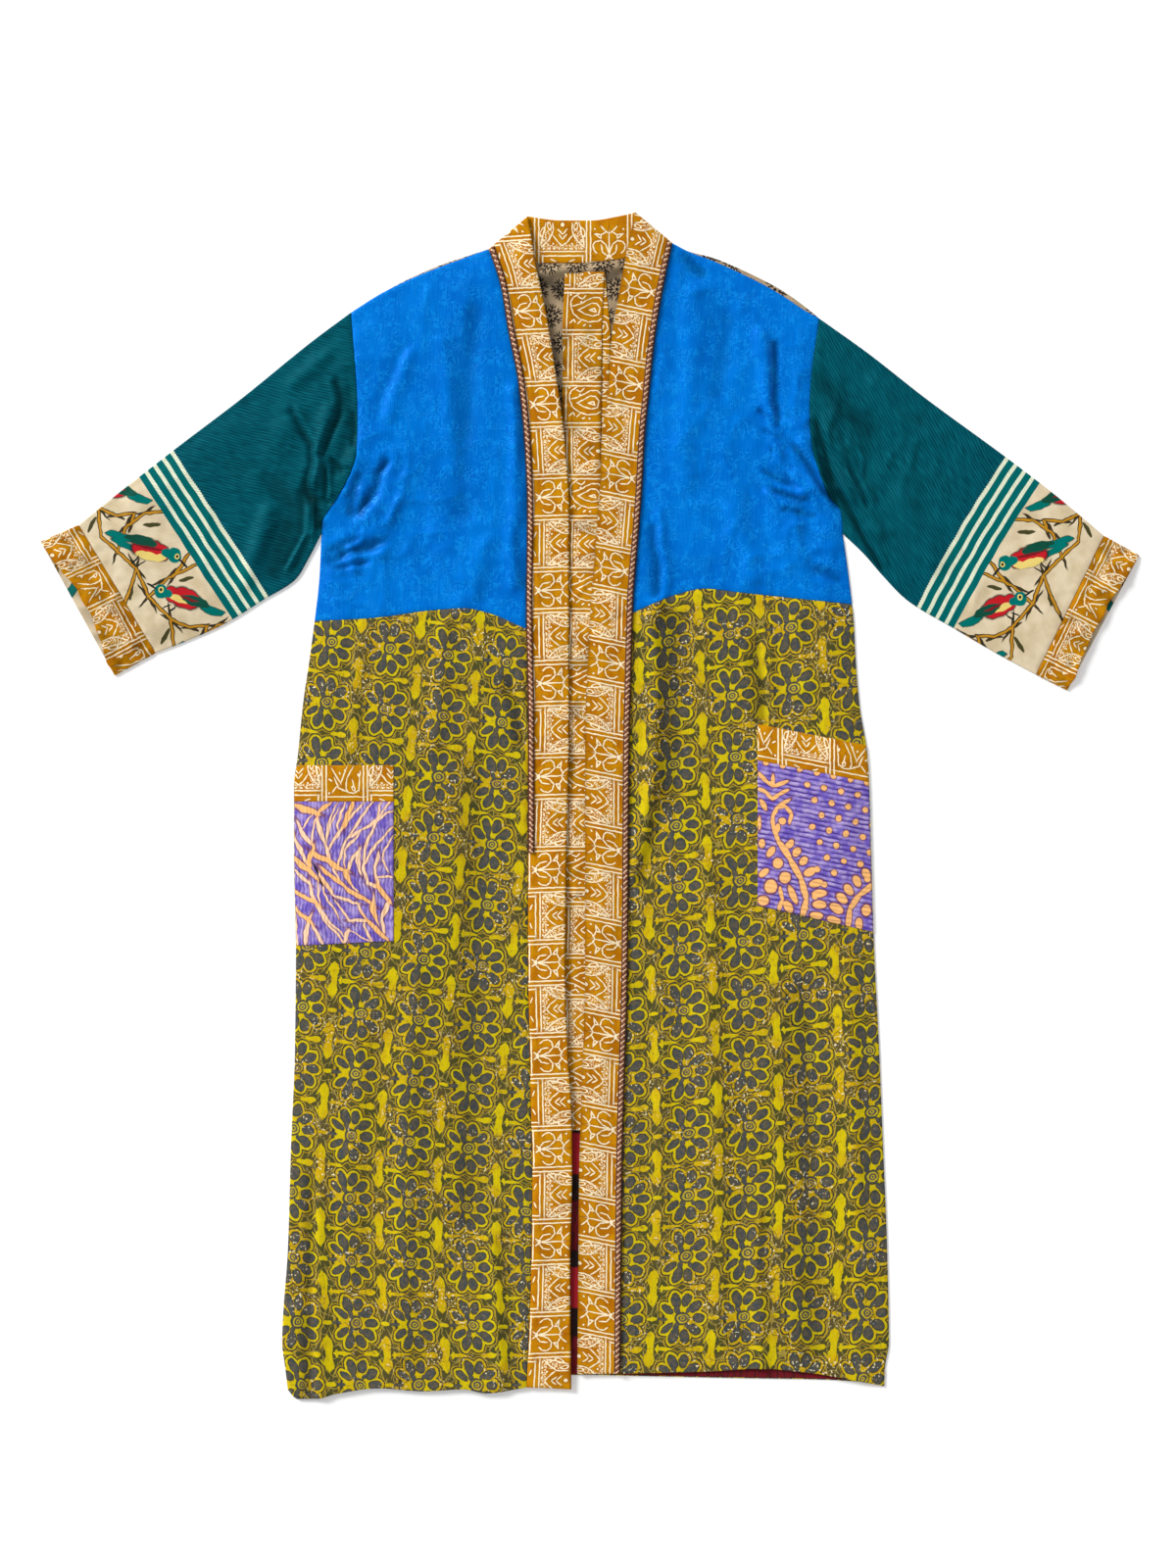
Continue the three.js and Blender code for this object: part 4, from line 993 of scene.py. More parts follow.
# Sleeve cloth: ribbed teal, a border of woven stripes and a printed end. The first number of a place
# runs from the fold to the underarm along the stripes, the second from the cuff seam up the sleeve.
sleeveLook = {
    "teal": colour(4, 92, 106), "tealDeep": colour(0, 54, 67), "stripeTeal": colour(0, 100, 98),
    "cream": colour(226, 232, 206), "beige": colour(222, 204, 172), "shadedBeige": colour(202, 182, 146),
    "printEnd": 81.0, "stripes": 4, "stripePitch": 10.9, "creamWidth": 4.0, "ribPitch": 2.8,
}
# Two birds among twigs, drawn on a repeat 96 millimetres long and 81 high, the first facing up the
# sleeve and the second down it
birdLook = {
    "repeat": 96.0, "size": 1.42, "start": 34.0, "twig": colour(190, 132, 20),
    "twigEdge": colour(58, 42, 20), "leaf": colour(70, 62, 26), "red": colour(190, 16, 28),
    "crimson": colour(120, 8, 20), "straw": colour(226, 200, 110), "teal": colour(0, 108, 100),
    "green": colour(18, 70, 52), "black": colour(30, 24, 20), "twigWidth": 0.85,
    "rim": {"twigEdge": 1.75, "black": 1.14},
}
birdTails = [(8, 22, 10.5, 2.6, 38), (14, 21, 9.0, 2.2, 30), (90, 49, 9.0, 2.6, 42),
             (84, 46, 10.0, 1.9, 34)]
birdBodies = [(27, 34, 11.5, 7.2, 42), (34, 40, 6.4, 5.6, 30), (71, 37, 11.0, 7.0, 36),
              (64, 31, 6.0, 5.2, 20)]
birdBreasts = [(31, 31, 9.0, 3.0, 44), (37, 38, 4.6, 2.6, 70), (69, 33, 7.4, 2.4, 38)]
birdWings = [(20, 34, 10.5, 3.8, 42), (77, 42, 10.5, 3.6, 38), (14, 29, 6.0, 1.6, 50)]
birdHeads = [(41, 47.5, 5.6, 5.2, 0), (37, 44, 4.0, 3.2, 40), (57.5, 25, 5.4, 5.0, 0), (61, 28, 3.8, 3.0, 40)]
birdStreaks = [(29, 38, 7.0, 0.9, 42), (25, 33, 7.5, 0.7, 40), (73, 39, 7.0, 0.9, 38),
               (22, 31, 6.5, 0.6, 46)]
birdBlack = [(49, 49.4, 4.4, 0.9, 12), (42.4, 48.6, 1.1, 1.1, 0), (50.5, 21.5, 4.4, 0.9, 28),
             (56.4, 25.8, 1.1, 1.1, 0), (28.5, 22, 0.6, 4.0, 14), (33, 24.5, 0.6, 4.0, -6),
             (73, 25, 0.6, 4.4, 10), (69, 23, 0.6, 3.6, -8)]
birdEyes = [(42.4, 48.6, 2.0, 2.0, 0), (56.4, 25.8, 2.0, 2.0, 0)]
twigs = [
    [(-2, 10), (16, 15), (34, 19), (56, 16), (78, 20), (98, 10)],
    [(56, 16), (52, 34), (55, 56)],
    [(34, 19), (44, 8), (52, -4)],
    [(53, 40), (46, 56)],
    [(16, 15), (5, 30), (4, 46), (10, 57)],
    [(5, 34), (-4, 44)],
    [(78, 20), (90, 28), (95, 38)],
]
twigLeaves = [(14, 46, 6.4, 1.7, 60), (86, 10, 6.6, 1.6, 120), (60, 45, 5.4, 1.4, 70), (46, 7, 6.0, 1.6, 140)]


def birdCloth(d, place):
    # beige ground, then dark-edged twigs and leaves, then the birds from the tail to the eye
    look = birdLook
    x, y = d.parts(d.wobbled(place, 9.0, 1.3))
    x, y = (d.over(value, look["size"]) for value in (x, y))
    tile = d.joined(d.repeated(x, look["repeat"], look["start"]), y)
    layers = [
        (twigLeaves, "leaf", None),
        (twigs, "twig", "twigEdge"),
        (birdTails, "teal", "black"),
        (birdBodies, "red", "black"),
        (birdBreasts, "straw", None),
        (birdWings, "green", None),
        (birdStreaks, "crimson", None),
        (birdHeads, "teal", None),
        (birdEyes, "straw", None),
        (birdBlack, "black", None),
    ]
    mottled = d.noise(place, 22.0, detail=3.0)
    printed = d.dyed(d.ranged(mottled, 0.35, 0.7), sleeveLook["beige"], sleeveLook["shadedBeige"])
    for rows, dye, edge in layers:
        if rows is twigs:
            field = d.nearest(d.strokes(tile, twigs, look["twigWidth"]))
        else:
            field = d.dabs(tile, rows)
        if edge:
            printed = d.dyed(d.within(field, 0.1, look["rim"][edge]), printed, look[edge])
        printed = d.dyed(d.within(field, 0.06), printed, look[dye])
    return printed


def sleeveCloth(name, ribTurn):
    # ribs as a sine across their turn, the cream stripes as the last part of each pitch, and the bird
    # print below the border
    look = sleeveLook
    d = Dyeing(name)
    printed = birdCloth(d, d.cloth)
    x, y = d.parts(d.wobbled(d.cloth, 30.0, 1.0))
    ribPlace = d.placed(d.wobbled(d.cloth, 60.0, 3.0), turn=ribTurn)
    _, ribsAlong = d.parts(ribPlace)
    ribs = d.wave(ribsAlong, look["ribPitch"])
    threads = d.noise(d.placed(ribPlace, scale=(12, 1)), 1.3, detail=1.0)
    shade = d.number("MULTIPLY_ADD", ribs, 0.17, threads)
    cloud = d.noise(d.cloth, 44.0, detail=2.0)
    deep = d.dyed(d.ranged(cloud, 0.36, 0.7), look["tealDeep"], colour(0, 66, 80))
    teal = d.dyed(d.ranged(shade, 0.3, 0.82), deep, look["teal"])
    # border: the last part of each pitch is cream, and the last cream stripe has teeth
    pitch = look["stripePitch"]
    step = d.repeated(y, pitch, look["printEnd"])
    borderEnd = look["printEnd"] + look["stripes"] * pitch
    inBorder = d.within(d.line(y, (look["printEnd"] + borderEnd) / 2, look["stripes"] * pitch / 2), 0.004)
    cream = d.ranged(step, pitch - look["creamWidth"] - 0.3, pitch - look["creamWidth"] + 0.3)
    teeth = d.plus(d.times(d.number("PINGPONG", x, 1.4), 1.3), borderEnd - 1.0)
    toothed = d.times(d.ranged(d.minus(teeth, y), -0.2, 0.2),
                       d.ranged(y, borderEnd - 1.4, borderEnd - 1.0))
    pale = d.larger(d.times(cream, inBorder), toothed)
    wovenTeal = d.dyed(d.times(inBorder, 0.8), teal, look["stripeTeal"])
    dusty = d.dyed(d.ranged(threads, 0.3, 0.8), look["cream"], colour(206, 210, 180))
    striped = d.dyed(pale, wovenTeal, dusty)
    colours = d.dyed(d.ranged(y, look["printEnd"] + 0.15, look["printEnd"] - 0.15), striped, printed)
    onRibs = d.ranged(y, look["printEnd"], look["printEnd"] + 0.5, 0.1, 0.5)
    height = d.plus(d.times(ribs, onRibs), threads)
    return d.finished(colours, 0.6, height, 0.2, specular=0.3, tint=colour(60, 190, 200))


def birdFacing():
    # the bird print again, inside the sleeve and cuff
    d = Dyeing("printed facing")
    return d.finished(birdCloth(d, d.cloth), 0.8, d.plainWeave(), 0.1, specular=0.15)


def sprigPrint():
    # seven leaves round each sprig, by folding the turn about its middle into equal sectors
    d = Dyeing("taupe sprig silk")
    size = 27.0
    place = d.wobbled(d.cloth, 9.0, 1.2)
    x, y = d.parts(place)
    rowNumber = d.number("FLOOR", d.over(y, size))
    shift = d.times(rowNumber, size / 2)
    cellX = d.centred(d.plus(x, shift), size)
    cellY = d.centred(y, size)
    angle = d.number("ARCTAN2", cellY, cellX)
    sector = d.number("PINGPONG", d.plus(angle, math.pi), math.pi / 7)
    away = d.vector("LENGTH", d.joined(cellX, cellY))
    leafPlace = d.joined(away, d.times(sector, away))
    leaf = d.dabs(leafPlace, [(7.8, 0, 5.2, 0.85), (6.0, 1.9, 2.4, 0.55, 40), (10.4, 2.3, 2.4, 0.65, 30)])
    middle = d.over(away, 1.7)
    mottled = d.noise(d.cloth, 14.0, detail=3.0)
    ground = d.dyed(d.ranged(mottled, 0.35, 0.7), colour(180, 158, 126), colour(158, 136, 106))
    printed = d.dyed(d.within(d.smaller(leaf, middle), 0.1), ground, colour(30, 20, 16))
    return d.finished(printed, 0.8, d.plainWeave(), 0.12, specular=0.15)


def darkLining():
    # dark brown with flecks, crossed by a red and a dim red band in each repeat
    d = Dyeing("dark lining")
    _, y = d.parts(d.wobbled(d.cloth, 24.0, 4.0))
    step = d.repeated(y, 138.0, 20.0)
    band = d.within(d.line(step, 40.0, 20.0), 0.06)
    fleck = d.ranged(d.streaks(4.0, (1, 3), 2.0), 0.5, 0.62, 0.0, 0.7)
    base = d.dyed(fleck, colour(26, 12, 14), colour(58, 22, 20))
    lower = d.within(d.line(step, 104.0, 24.0), 0.08)
    dim = d.dyed(d.times(lower, d.ranged(fleck, 0.7, 0.0, 0.4, 1.0)), base, colour(112, 16, 28))
    red = d.dyed(band, dim, colour(160, 24, 38))
    return d.finished(red, 0.7, d.plainWeave(), 0.1, specular=0.15)


violetLook = {
    "violet": colour(114, 94, 188), "pale": colour(184, 164, 216), "deep": colour(74, 54, 144),
    "tan": colour(248, 186, 112), "paleTan": colour(248, 206, 166), "edge": colour(112, 62, 92),
    "shadow": colour(40, 24, 40),
}


def pleatedViolet(d, across, pitch, strength):
    # violet with fine pleats: a wave across them, bent a little, with painted shade in their troughs
    look = violetLook
    wave = d.wave(across, pitch)
    broken = d.times(wave, d.ranged(d.noise(d.cloth, 16.0), 0.34, 0.6, 0.3, 1.0))
    base = d.dyed(d.ranged(d.noise(d.cloth, 10.0, detail=3.0), 0.36, 0.68), look["violet"], look["pale"])
    # the troughs of the pleats take the deep violet as painted shade
    return d.dyed(d.ranged(broken, 0.1, -0.8, 0.0, strength), base, look["deep"]), broken


# Veins of the right pocket, charted ten times as large, right and down from its upper outer corner
veinChart = {
    "scale": 10.0,
    "bend": 0.0068,
    "bendMiddle": 104.0,
    "stemWidth": 2.6,
    "stems": [
        [(60, 425), (290, 505), (400, 395)], [(640, 395), (560, 620)], [(235, 830), (200, 1040)],
        [(50, 955), (290, 1170)], [(240, 900), (560, 1075), (600, 1190)],
        [(330, 1060), (560, 1245), (830, 1420), (870, 1560)], [(50, 1295), (290, 1425)],
        [(790, 1590), (1000, 1800)], [(900, 1230), (1020, 1400)], [(60, 1465), (230, 1620)],
    ],
    "branchWidth": 1.7,
    "branches": [
        [(285, 530), (370, 830), (430, 1010)], [(80, 600), (225, 830)], [(65, 760), (190, 1030)],
        [(560, 620), (400, 860)], [(740, 395), (570, 610)], [(840, 390), (650, 680), (490, 1030)],
        [(1040, 480), (740, 670), (600, 760)],
        [(1020, 395), (850, 650), (750, 1000), (800, 1220), (910, 1240)], [(1050, 640), (770, 1000)],
        [(710, 860), (580, 1100)], [(700, 870), (725, 1110)], [(905, 910), (870, 1100), (950, 1290)],
        [(450, 1330), (700, 1420), (790, 1590), (620, 1590), (470, 1400)], [(290, 1090), (450, 1330)],
        [(50, 1070), (200, 1220), (380, 1600), (550, 1820)], [(290, 1425), (560, 1760)],
        [(210, 1560), (160, 1830)], [(230, 1620), (340, 1830)], [(1010, 1400), (950, 1560), (960, 1720)],
        [(850, 1330), (890, 1620)],
    ],
    "twigWidth": 1.1,
    "twigs": [
        [(225, 520), (130, 650)], [(265, 560), (218, 820)], [(470, 420), (378, 760)],
        [(490, 480), (385, 740)], [(560, 400), (495, 650)], [(930, 390), (890, 560)],
        [(720, 700), (570, 880), (560, 1030)], [(1050, 740), (940, 960), (1000, 1100)],
        [(900, 1140), (1040, 1150)], [(60, 1560), (70, 1830)], [(290, 1190), (310, 1400)],
        [(330, 1210), (480, 1540)], [(600, 1690), (560, 1820)], [(600, 1690), (830, 1800)],
        [(440, 1020), (530, 1220)], [(600, 1180), (690, 1290)], [(760, 1620), (830, 1790)],
    ],
}


def violetVeins():
    # tan stems, branches and twigs, each a chain of dabs, with a dark edge. They are laid on a place
    # that is bent sideways by the square of the height, so that each dab comes out as an arc
    look = violetLook
    chart = veinChart
    d = Dyeing("violet vein silk")
    place = d.wobbled(d.cloth, 13.0, 2.4)
    x, y = d.parts(place)
    base, pleats = pleatedViolet(d, x, 3.8, 0.7)
    fromMiddle = d.minus(y, chart["bendMiddle"])
    sideways = d.times(d.times(fromMiddle, fromMiddle), chart["bend"])
    bentPlace = d.joined(d.minus(x, sideways), y)

    def bent(a, b):
        # a charted point in millimetres, on the bent place
        a, b = a / chart["scale"], b / chart["scale"]
        return a - chart["bend"] * (b - chart["bendMiddle"]) ** 2, b

    def veins(kind, width):
        lines = [[bent(*point) for point in line] for line in chart[kind]]
        return d.nearest(d.strokes(bentPlace, lines, chart[width]))

    stems = veins("stems", "stemWidth")
    field = d.nearest([stems, veins("branches", "branchWidth"), veins("twigs", "twigWidth")])
    edged = d.dyed(d.ranged(field, 1.6, 1.2, 0.0, 0.9), base, look["edge"])
    tan = d.dyed(d.ranged(stems, 2.0, 0.8), look["paleTan"], look["tan"])
    veined = d.dyed(d.within(field, 0.14), edged, tan)
    torn = d.dabs(place, [(26.5, 105.5, 7.0, 1.6, 70), (32.0, 120.0, 5.0, 0.8, 68)])
    shadowed = d.dyed(d.within(torn, 0.3), veined, look["shadow"])
    return d.finished(shadowed, 0.62, pleats, 0.22, specular=0.3, tint=colour(190, 170, 255))


# Scroll of the left pocket, charted nine times as large, right and down from its upper inner corner
scrollChart = {
    "scale": 9.0,
    "stems": [
        [(450, 1820), (490, 1640), (440, 1450), (340, 1275), (240, 1110)],
        [(870, 1900), (890, 1730), (980, 1600), (1110, 1505)],
    ],
    "stemWidth": 3.1,
    "curls": [
        [(240, 1110), (188, 1000), (180, 880), (225, 800), (300, 792), (352, 860), (335, 940)],
        [(225, 800), (330, 726)], [(55, 630), (120, 660), (178, 722), (240, 680), (318, 640)],
        [(60, 490), (130, 570), (200, 602), (310, 562)], [(180, 600), (184, 505)],
        [(236, 1750), (268, 1640), (250, 1540)],
    ],
    "curlWidth": 2.1,
    "leaves": [
        (340, 1135, 46, 33, -50), (400, 1210, 46, 33, -50), (462, 1290, 48, 33, -45),
        (522, 1390, 58, 36, -28), (580, 1495, 64, 37, -16), (606, 1590, 67, 35, -6),
        (610, 1690, 64, 36, 4), (582, 1790, 60, 33, 10), (80, 1130, 30, 42, 0), (165, 1208, 54, 30, -55),
        (228, 1310, 47, 45, 0), (100, 1400, 52, 30, -35), (293, 1442, 50, 52, 0), (165, 1525, 56, 62, 0),
        (365, 1600, 92, 28, 66), (322, 1710, 64, 37, 58), (95, 1652, 50, 44, 0), (270, 925, 32, 32, 0),
        (225, 990, 24, 44, 10), (95, 775, 58, 22, 62), (1040, 1410, 56, 36, 62), (956, 1475, 54, 35, 62),
        (880, 1555, 58, 37, 52), (815, 1632, 60, 38, 46), (766, 1725, 66, 40, 32),
        (745, 1832, 66, 34, 20), (1040, 1745, 44, 52, 0), (975, 1865, 32, 52, 0), (60, 940, 16, 66, 0),
    ],
    "clear": [(215, 1180, 330, 760, 0), (120, 640, 250, 190, 0), (900, 1730, 330, 300, 0)],
    "dot": (497, 590),
    "dotRadius": 3.0,
    "alongRow": (155, 31),
    "nextRow": (67, 140),
    "pleatPitch": 5.0,
    "pleatSlope": 0.2,
}


def violetScroll():
    # tan stems, curls and leaves, and dots where none of them lie, each with a dark edge
    look = violetLook
    chart = scrollChart
    size = chart["scale"]
    d = Dyeing("violet scroll silk")
    place = d.wobbled(d.cloth, 10.0, 0.8)
    x, y = d.parts(place)
    acrossPleats = d.number("MULTIPLY_ADD", x, -chart["pleatSlope"], y)
    base, pleats = pleatedViolet(d, acrossPleats, chart["pleatPitch"], 1.0)

    def strokesOf(kind, width):
        lines = [[(a / size, b / size) for a, b in line] for line in chart[kind]]
        return d.nearest(d.strokes(place, lines, chart[width]))

    def dabsOf(kind, where):
        return d.dabs(where, ((*(value / size for value in row[:4]), row[4]) for row in chart[kind]))

    stem = strokesOf("stems", "stemWidth")
    curl = strokesOf("curls", "curlWidth")
    leaves = dabsOf("leaves", place)
    # dots on a slanting grid: the share of each of its two steps, brought back to the nearest dot
    ax, ay = (value / size for value in chart["alongRow"])
    bx, by = (value / size for value in chart["nextRow"])
    area = ax * by - ay * bx
    centred = d.vector("SUBTRACT", place, (chart["dot"][0] / size, chart["dot"][1] / size, 0))
    first = d.vector("DOT_PRODUCT", centred, (by / area, -bx / area, 0))
    second = d.vector("DOT_PRODUCT", centred, (-ay / area, ax / area, 0))
    first, second = (d.minus(d.number("FRACT", d.plus(share, 0.5)), 0.5) for share in (first, second))
    dotX = d.number("MULTIPLY_ADD", second, bx, d.times(first, ax))
    dotY = d.number("MULTIPLY_ADD", second, by, d.times(first, ay))
    dots = d.over(d.vector("LENGTH", d.joined(dotX, dotY)), chart["dotRadius"])
    # a dot whose middle lies among the leaves is left out
    middles = d.vector("SUBTRACT", place, d.joined(dotX, dotY))
    dots = d.plus(dots, d.ranged(dabsOf("clear", middles), 1.01, 0.99, 0.0, 9.0))
    field = d.smaller(d.smaller(dots, stem), d.smaller(curl, leaves))
    edged = d.dyed(d.ranged(field, 1.42, 1.18, 0.0, 0.95), base, look["edge"])
    tan = d.dyed(d.within(field, 0.08), edged, look["tan"])
    return d.finished(tan, 0.62, pleats, 0.35, specular=0.3, tint=colour(190, 170, 255))


def braidYarn(name, light, dark):
    # a plied yarn: fine slanting strands along it
    d = Dyeing(name)
    x, y = d.parts(d.cloth)
    slant = d.wave(d.plus(x, y), 1.1)
    fuzz = d.noise(d.cloth, 2.0, detail=2.0)
    colours = d.dyed(d.ranged(d.number("MULTIPLY_ADD", slant, 0.2, fuzz), 0.25, 0.8), dark, light)
    return d.finished(colours, 0.8, slant, 0.08, specular=0.2, sheen=0.2)


cloths = {
    "bands": ochreBatik("ochre batik scrolls", "scroll"),
    "paisley": ochreBatik("ochre batik paisley", "paisley"),
    "hooks": ochreBatik("ochre batik hooks", "hook"),
    "crumpled": ochreBatik("ochre batik cuffs", "hook", wobble=0.8),
    "flowers": flowerPrint(),
    "blue": blueJacquard(),
    "sleeveRight": sleeveCloth("teal sleeve silk right", 41),
    "sleeveLeft": sleeveCloth("teal sleeve silk left", -61),
    "facing": birdFacing(),
    "sprigs": sprigPrint(),
    "lining": darkLining(),
    "veins": violetVeins(),
    "scroll": violetScroll(),
    "yarnLight": braidYarn("braid light yarn", colour(246, 214, 178), colour(204, 152, 116)),
    "yarnDark": braidYarn("braid brown yarn", colour(150, 88, 56), colour(90, 44, 30)),
    "cord": braidYarn("braid dark cord", colour(120, 66, 44), colour(60, 28, 20)),
}
print("cloths dyed:", len(cloths))


def dress(piece, nodes, materials):
    # gives a piece its cloths and its place in the frame, and hides the solids that it stands for
    for material in materials:
        piece.data.materials.append(cloths[material])
    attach(piece, "root")
    if nodes:
        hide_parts(*nodes)


skirtPiece = {
    "spacing": 3.4,
    "hemTurn": 0.5,
    "hemWidth": 17,
    "flat": {"right": (0.245, 0.795), "left": (0.262, 0.795)},
}


def makeFrontSkirt(side):
    # a panel from the band to the side and from the hem to the waist seam, thicker over its turned hem
    look = skirtPiece
    edges = sides[side]
    x, y, fromSides, fromEnds = panelGrid(edges["bandOuterX"], edges["sideX"], edges["hemY"], edges["seamY"],
                                          look["spacing"])
    bottom = frontSurface(side, x, y)
    fromHem = np.abs(y - edges["hemY"](x))
    turnUp = look["hemTurn"] * ease((look["hemWidth"] - fromHem) / 2)
    top = bottom + levels["clothWall"] + turnUp - rimDrop(fromSides, fromEnds)
    piece = shell(f"{side}FrontSkirtCloth", x, y, top, bottom, flowerPlace(side, x, y), paintedCreaseShade(x, y))
    dress(piece, [f"{side}_front_skirt"], ["flowers", "lining"])


yokePiece = {"spacing": 2.7, "flat": (0.215, 0.385), "area": 0.068}


def makeFrontYoke(side):
    # a panel from the band to the armhole and from the waist seam to the shoulder
    edges = sides[side]
    x, y, fromSides, fromEnds = panelGrid(edges["bandOuterX"], lambda at: outerX(side, at), edges["seamY"],
                                          edges["shoulderFront"], yokePiece["spacing"])
    bottom = frontSurface(side, x, y)
    top = bottom + levels["clothWall"] - rimDrop(fromSides, fromEnds)
    piece = shell(f"{side}FrontYokeCloth", x, y, top, bottom, np.stack([x, y], -1), paintedCreaseShade(x, y))
    dress(piece, [f"{side}_front_yoke"], ["blue", "lining"])


bandPiece = {
    "width": 45, "flat": (0.045, 1.175), "spacingAcross": 1.7, "spacingAlong": 2.6, "thickness": 1.7,
    "braidWidth": 6.5, "firstSeparator": {"right": 293.5, "left": 315.5},
    "printInset": {"right": (6.2, 1.0), "left": (4.6, 4.2)}, "neckLift": 2.6,
    "shear": {"right": 0.04, "left": 0.2},
}


def bandGrid(side):
    # rows across the band from its outer to its inner edge, with a round rim on both
    edges = sides[side]
    bottomY = float(edges["hemY"](edges["bandOuterX"](-590.0)))
    topY = max(frontBand[side]["y"])
    along = blend(bottomY, topY, gridPlaces(topY - bottomY, bandPiece["spacingAlong"]))
    across = gridPlaces(bandPiece["width"], bandPiece["spacingAcross"])
    ox, oy = edges["bandOuterX"](along), along
    ix, iy = edges["bandInnerX"](along), edges["bandInnerY"](along)
    s, _ = np.meshgrid(across, along)
    x = blend(ox[:, None], ix[:, None], s)
    y = blend(oy[:, None], iy[:, None], s)
    width = np.hypot(ix - ox, iy - oy)[:, None]
    return x, y, s, s * width, along


def bandUnderside(side, x, y, s):
    # the front's surface, with the folded inner edge standing up a little, most of all at the neck
    standing = 0.7 + bandPiece["neckLift"] * ease((y - 440) / 110)
    return frontSurface(side, x, y) + standing * ease(s * 1.1) * ease((y + 600) / 40)


def makeFrontBand(side):
    # the doubled band: crumpled a little, with painted shade along its inner edge and in faint patches,
    # its print set in from the braid
    look = bandPiece
    width = look["width"]
    x, y, s, across, along = bandGrid(side)
    bottom = bandUnderside(side, x, y, s)
    crumple = 0.35 * softNoise(x, y, 13, 17, 31) + 0.16 * softNoise(x, y, 6, 6, 33)
    fromEnds = np.minimum(np.abs(along - along[0]), np.abs(along - along[-1]))[:, None] + 0 * x
    fromSides = np.minimum(s, 1 - s) * width
    top = bottom + look["thickness"] + crumple * ease(fromSides / 6)
    top = top - rimDrop(fromSides, fromEnds, 0.9) - 0.35 * quarterRound(fromEnds, 2, 1)
    upperInset, lowerInset = look["printInset"][side]
    printAcross = across - blend(upperInset, lowerInset, ease((90 - y) / 140))
    # painted shade along the folded inner edge, and a little darker in faint patches
    shade = 0.45 * np.exp(-((1 - s) * width / 1.6) ** 2) + 0.1 * np.maximum(softNoise(x, y, 11, 15, 35), 0)
    printAlong = look["firstSeparator"][side] - y + look["shear"][side] * (across - 26)
    piece = shell(f"{side}FrontBandCloth", x, y, top, bottom, np.stack([printAcross, printAlong], -1), shade)
    dress(piece, [f"{side}_front_band"], ["bands", "bands"])


braidPiece = {"yarnRadius": 1.25, "twistRadius": 1.15, "cordRadius": 0.55, "cordDrop": 0.9, "pitch": 5.6,
              "steps": 8, "sides": 6, "end": {"right": -48, "left": -578}}


def makeBraid(side):
    # two yarns twisted round each other, between two thin dark cords that hold them to the band
    look = braidPiece
    edges = sides[side]
    topY = max(frontBand[side]["y"]) - 1
    bottomY = look["end"][side]
    count = int((topY - bottomY) / look["pitch"] * look["steps"])
    path = np.linspace(bottomY, topY, count)
    ox, oy = edges["bandOuterX"](path), path
    ix, iy = edges["bandInnerX"](path), edges["bandInnerY"](path)
    width = np.hypot(ix - ox, iy - oy)
    inX, inY = (ix - ox) / width, (iy - oy) / width
    phase = 2 * np.pi * (path - bottomY) / look["pitch"]
    middle = bandPiece["braidWidth"] / 2
    around = np.linspace(0, 2 * np.pi, look["sides"], endpoint=False)
    swing, rise = look["twistRadius"] * np.cos(phase), 0.5 * look["twistRadius"] * np.sin(phase)
    yarn, cord, low = look["yarnRadius"], look["cordRadius"], 0 * phase - look["cordDrop"]
    strands = [
        (middle + swing, rise, yarn, 0),
        (middle - swing, -rise, yarn, 1),
        (cord + 0 * phase, low, cord, 2),
        (2 * middle - cord + 0 * phase, low, cord, 2),
    ]
    allPoints, allFaces, allPlaces, allSlots = [], [], [], []
    start = 0
    for offset, up, radius, slot in strands:
        cx, cy = ox + inX * offset, oy + inY * offset
        base = bandUnderside(side, cx, cy, offset / width) + bandPiece["thickness"]
        cz = base + look["yarnRadius"] + 0.5 * look["twistRadius"] + up
        ringX = cx[:, None] + inX[:, None] * radius * np.cos(around)
        ringY = cy[:, None] + inY[:, None] * radius * np.cos(around)
        ringZ = cz[:, None] + radius * np.sin(around)
        faces = ringFaces(count, look["sides"], start)
        # each end is closed by two four-sided faces over the six points of its ring
        cap = np.array([[0, 1, 2, 3], [0, 3, 4, 5]]) + start
        last = (count - 1) * look["sides"]
        faces = np.concatenate([faces, cap[:, ::-1], cap + last])
        place = np.stack(np.broadcast_arrays(around[None] * radius, path[:, None]), -1)
        allPoints.append(np.stack([ringX, ringY, ringZ], -1).reshape(-1, 3))
        allFaces.append(faces)
        allPlaces.append(place.reshape(-1, 2))
        allSlots.append(np.full(len(faces), slot))
        start += count * look["sides"]
    piece = makeMesh(f"{side}BraidYarns", np.concatenate(allPoints), np.concatenate(allFaces),
                     np.concatenate(allPlaces), np.concatenate(allSlots))
    dress(piece, [f"{side}_braid"], ["yarnLight", "yarnDark", "cord"])


pocketPiece = {
    "spacing": 2.2,
    "thickness": 0.9,
    "sideInset": 0.6,
    "aboveSkirt": 0.12,
    "right": {"innerX": -200, "top": 41, "bandBottom": 4, "bottom": -138, "slope": 0.0, "bottomSlope": 0.05,
              "cloth": "veins", "chart": (-306, 42), "printStart": 24.0, "pleatHeight": 0.12,
              "flat": (0.105, 0.145), "bandFlat": (0.1, 0.037)},
    "left": {"innerX": 171, "top": 83, "bandBottom": 46, "bottom": -102, "slope": -0.195,
             "bottomSlope": -0.227, "cloth": "scroll", "chart": (166, 87), "printStart": 72.0,
             "pleatHeight": 0.3, "flat": (0.118, 0.148), "bandFlat": (0.116, 0.037)},
}


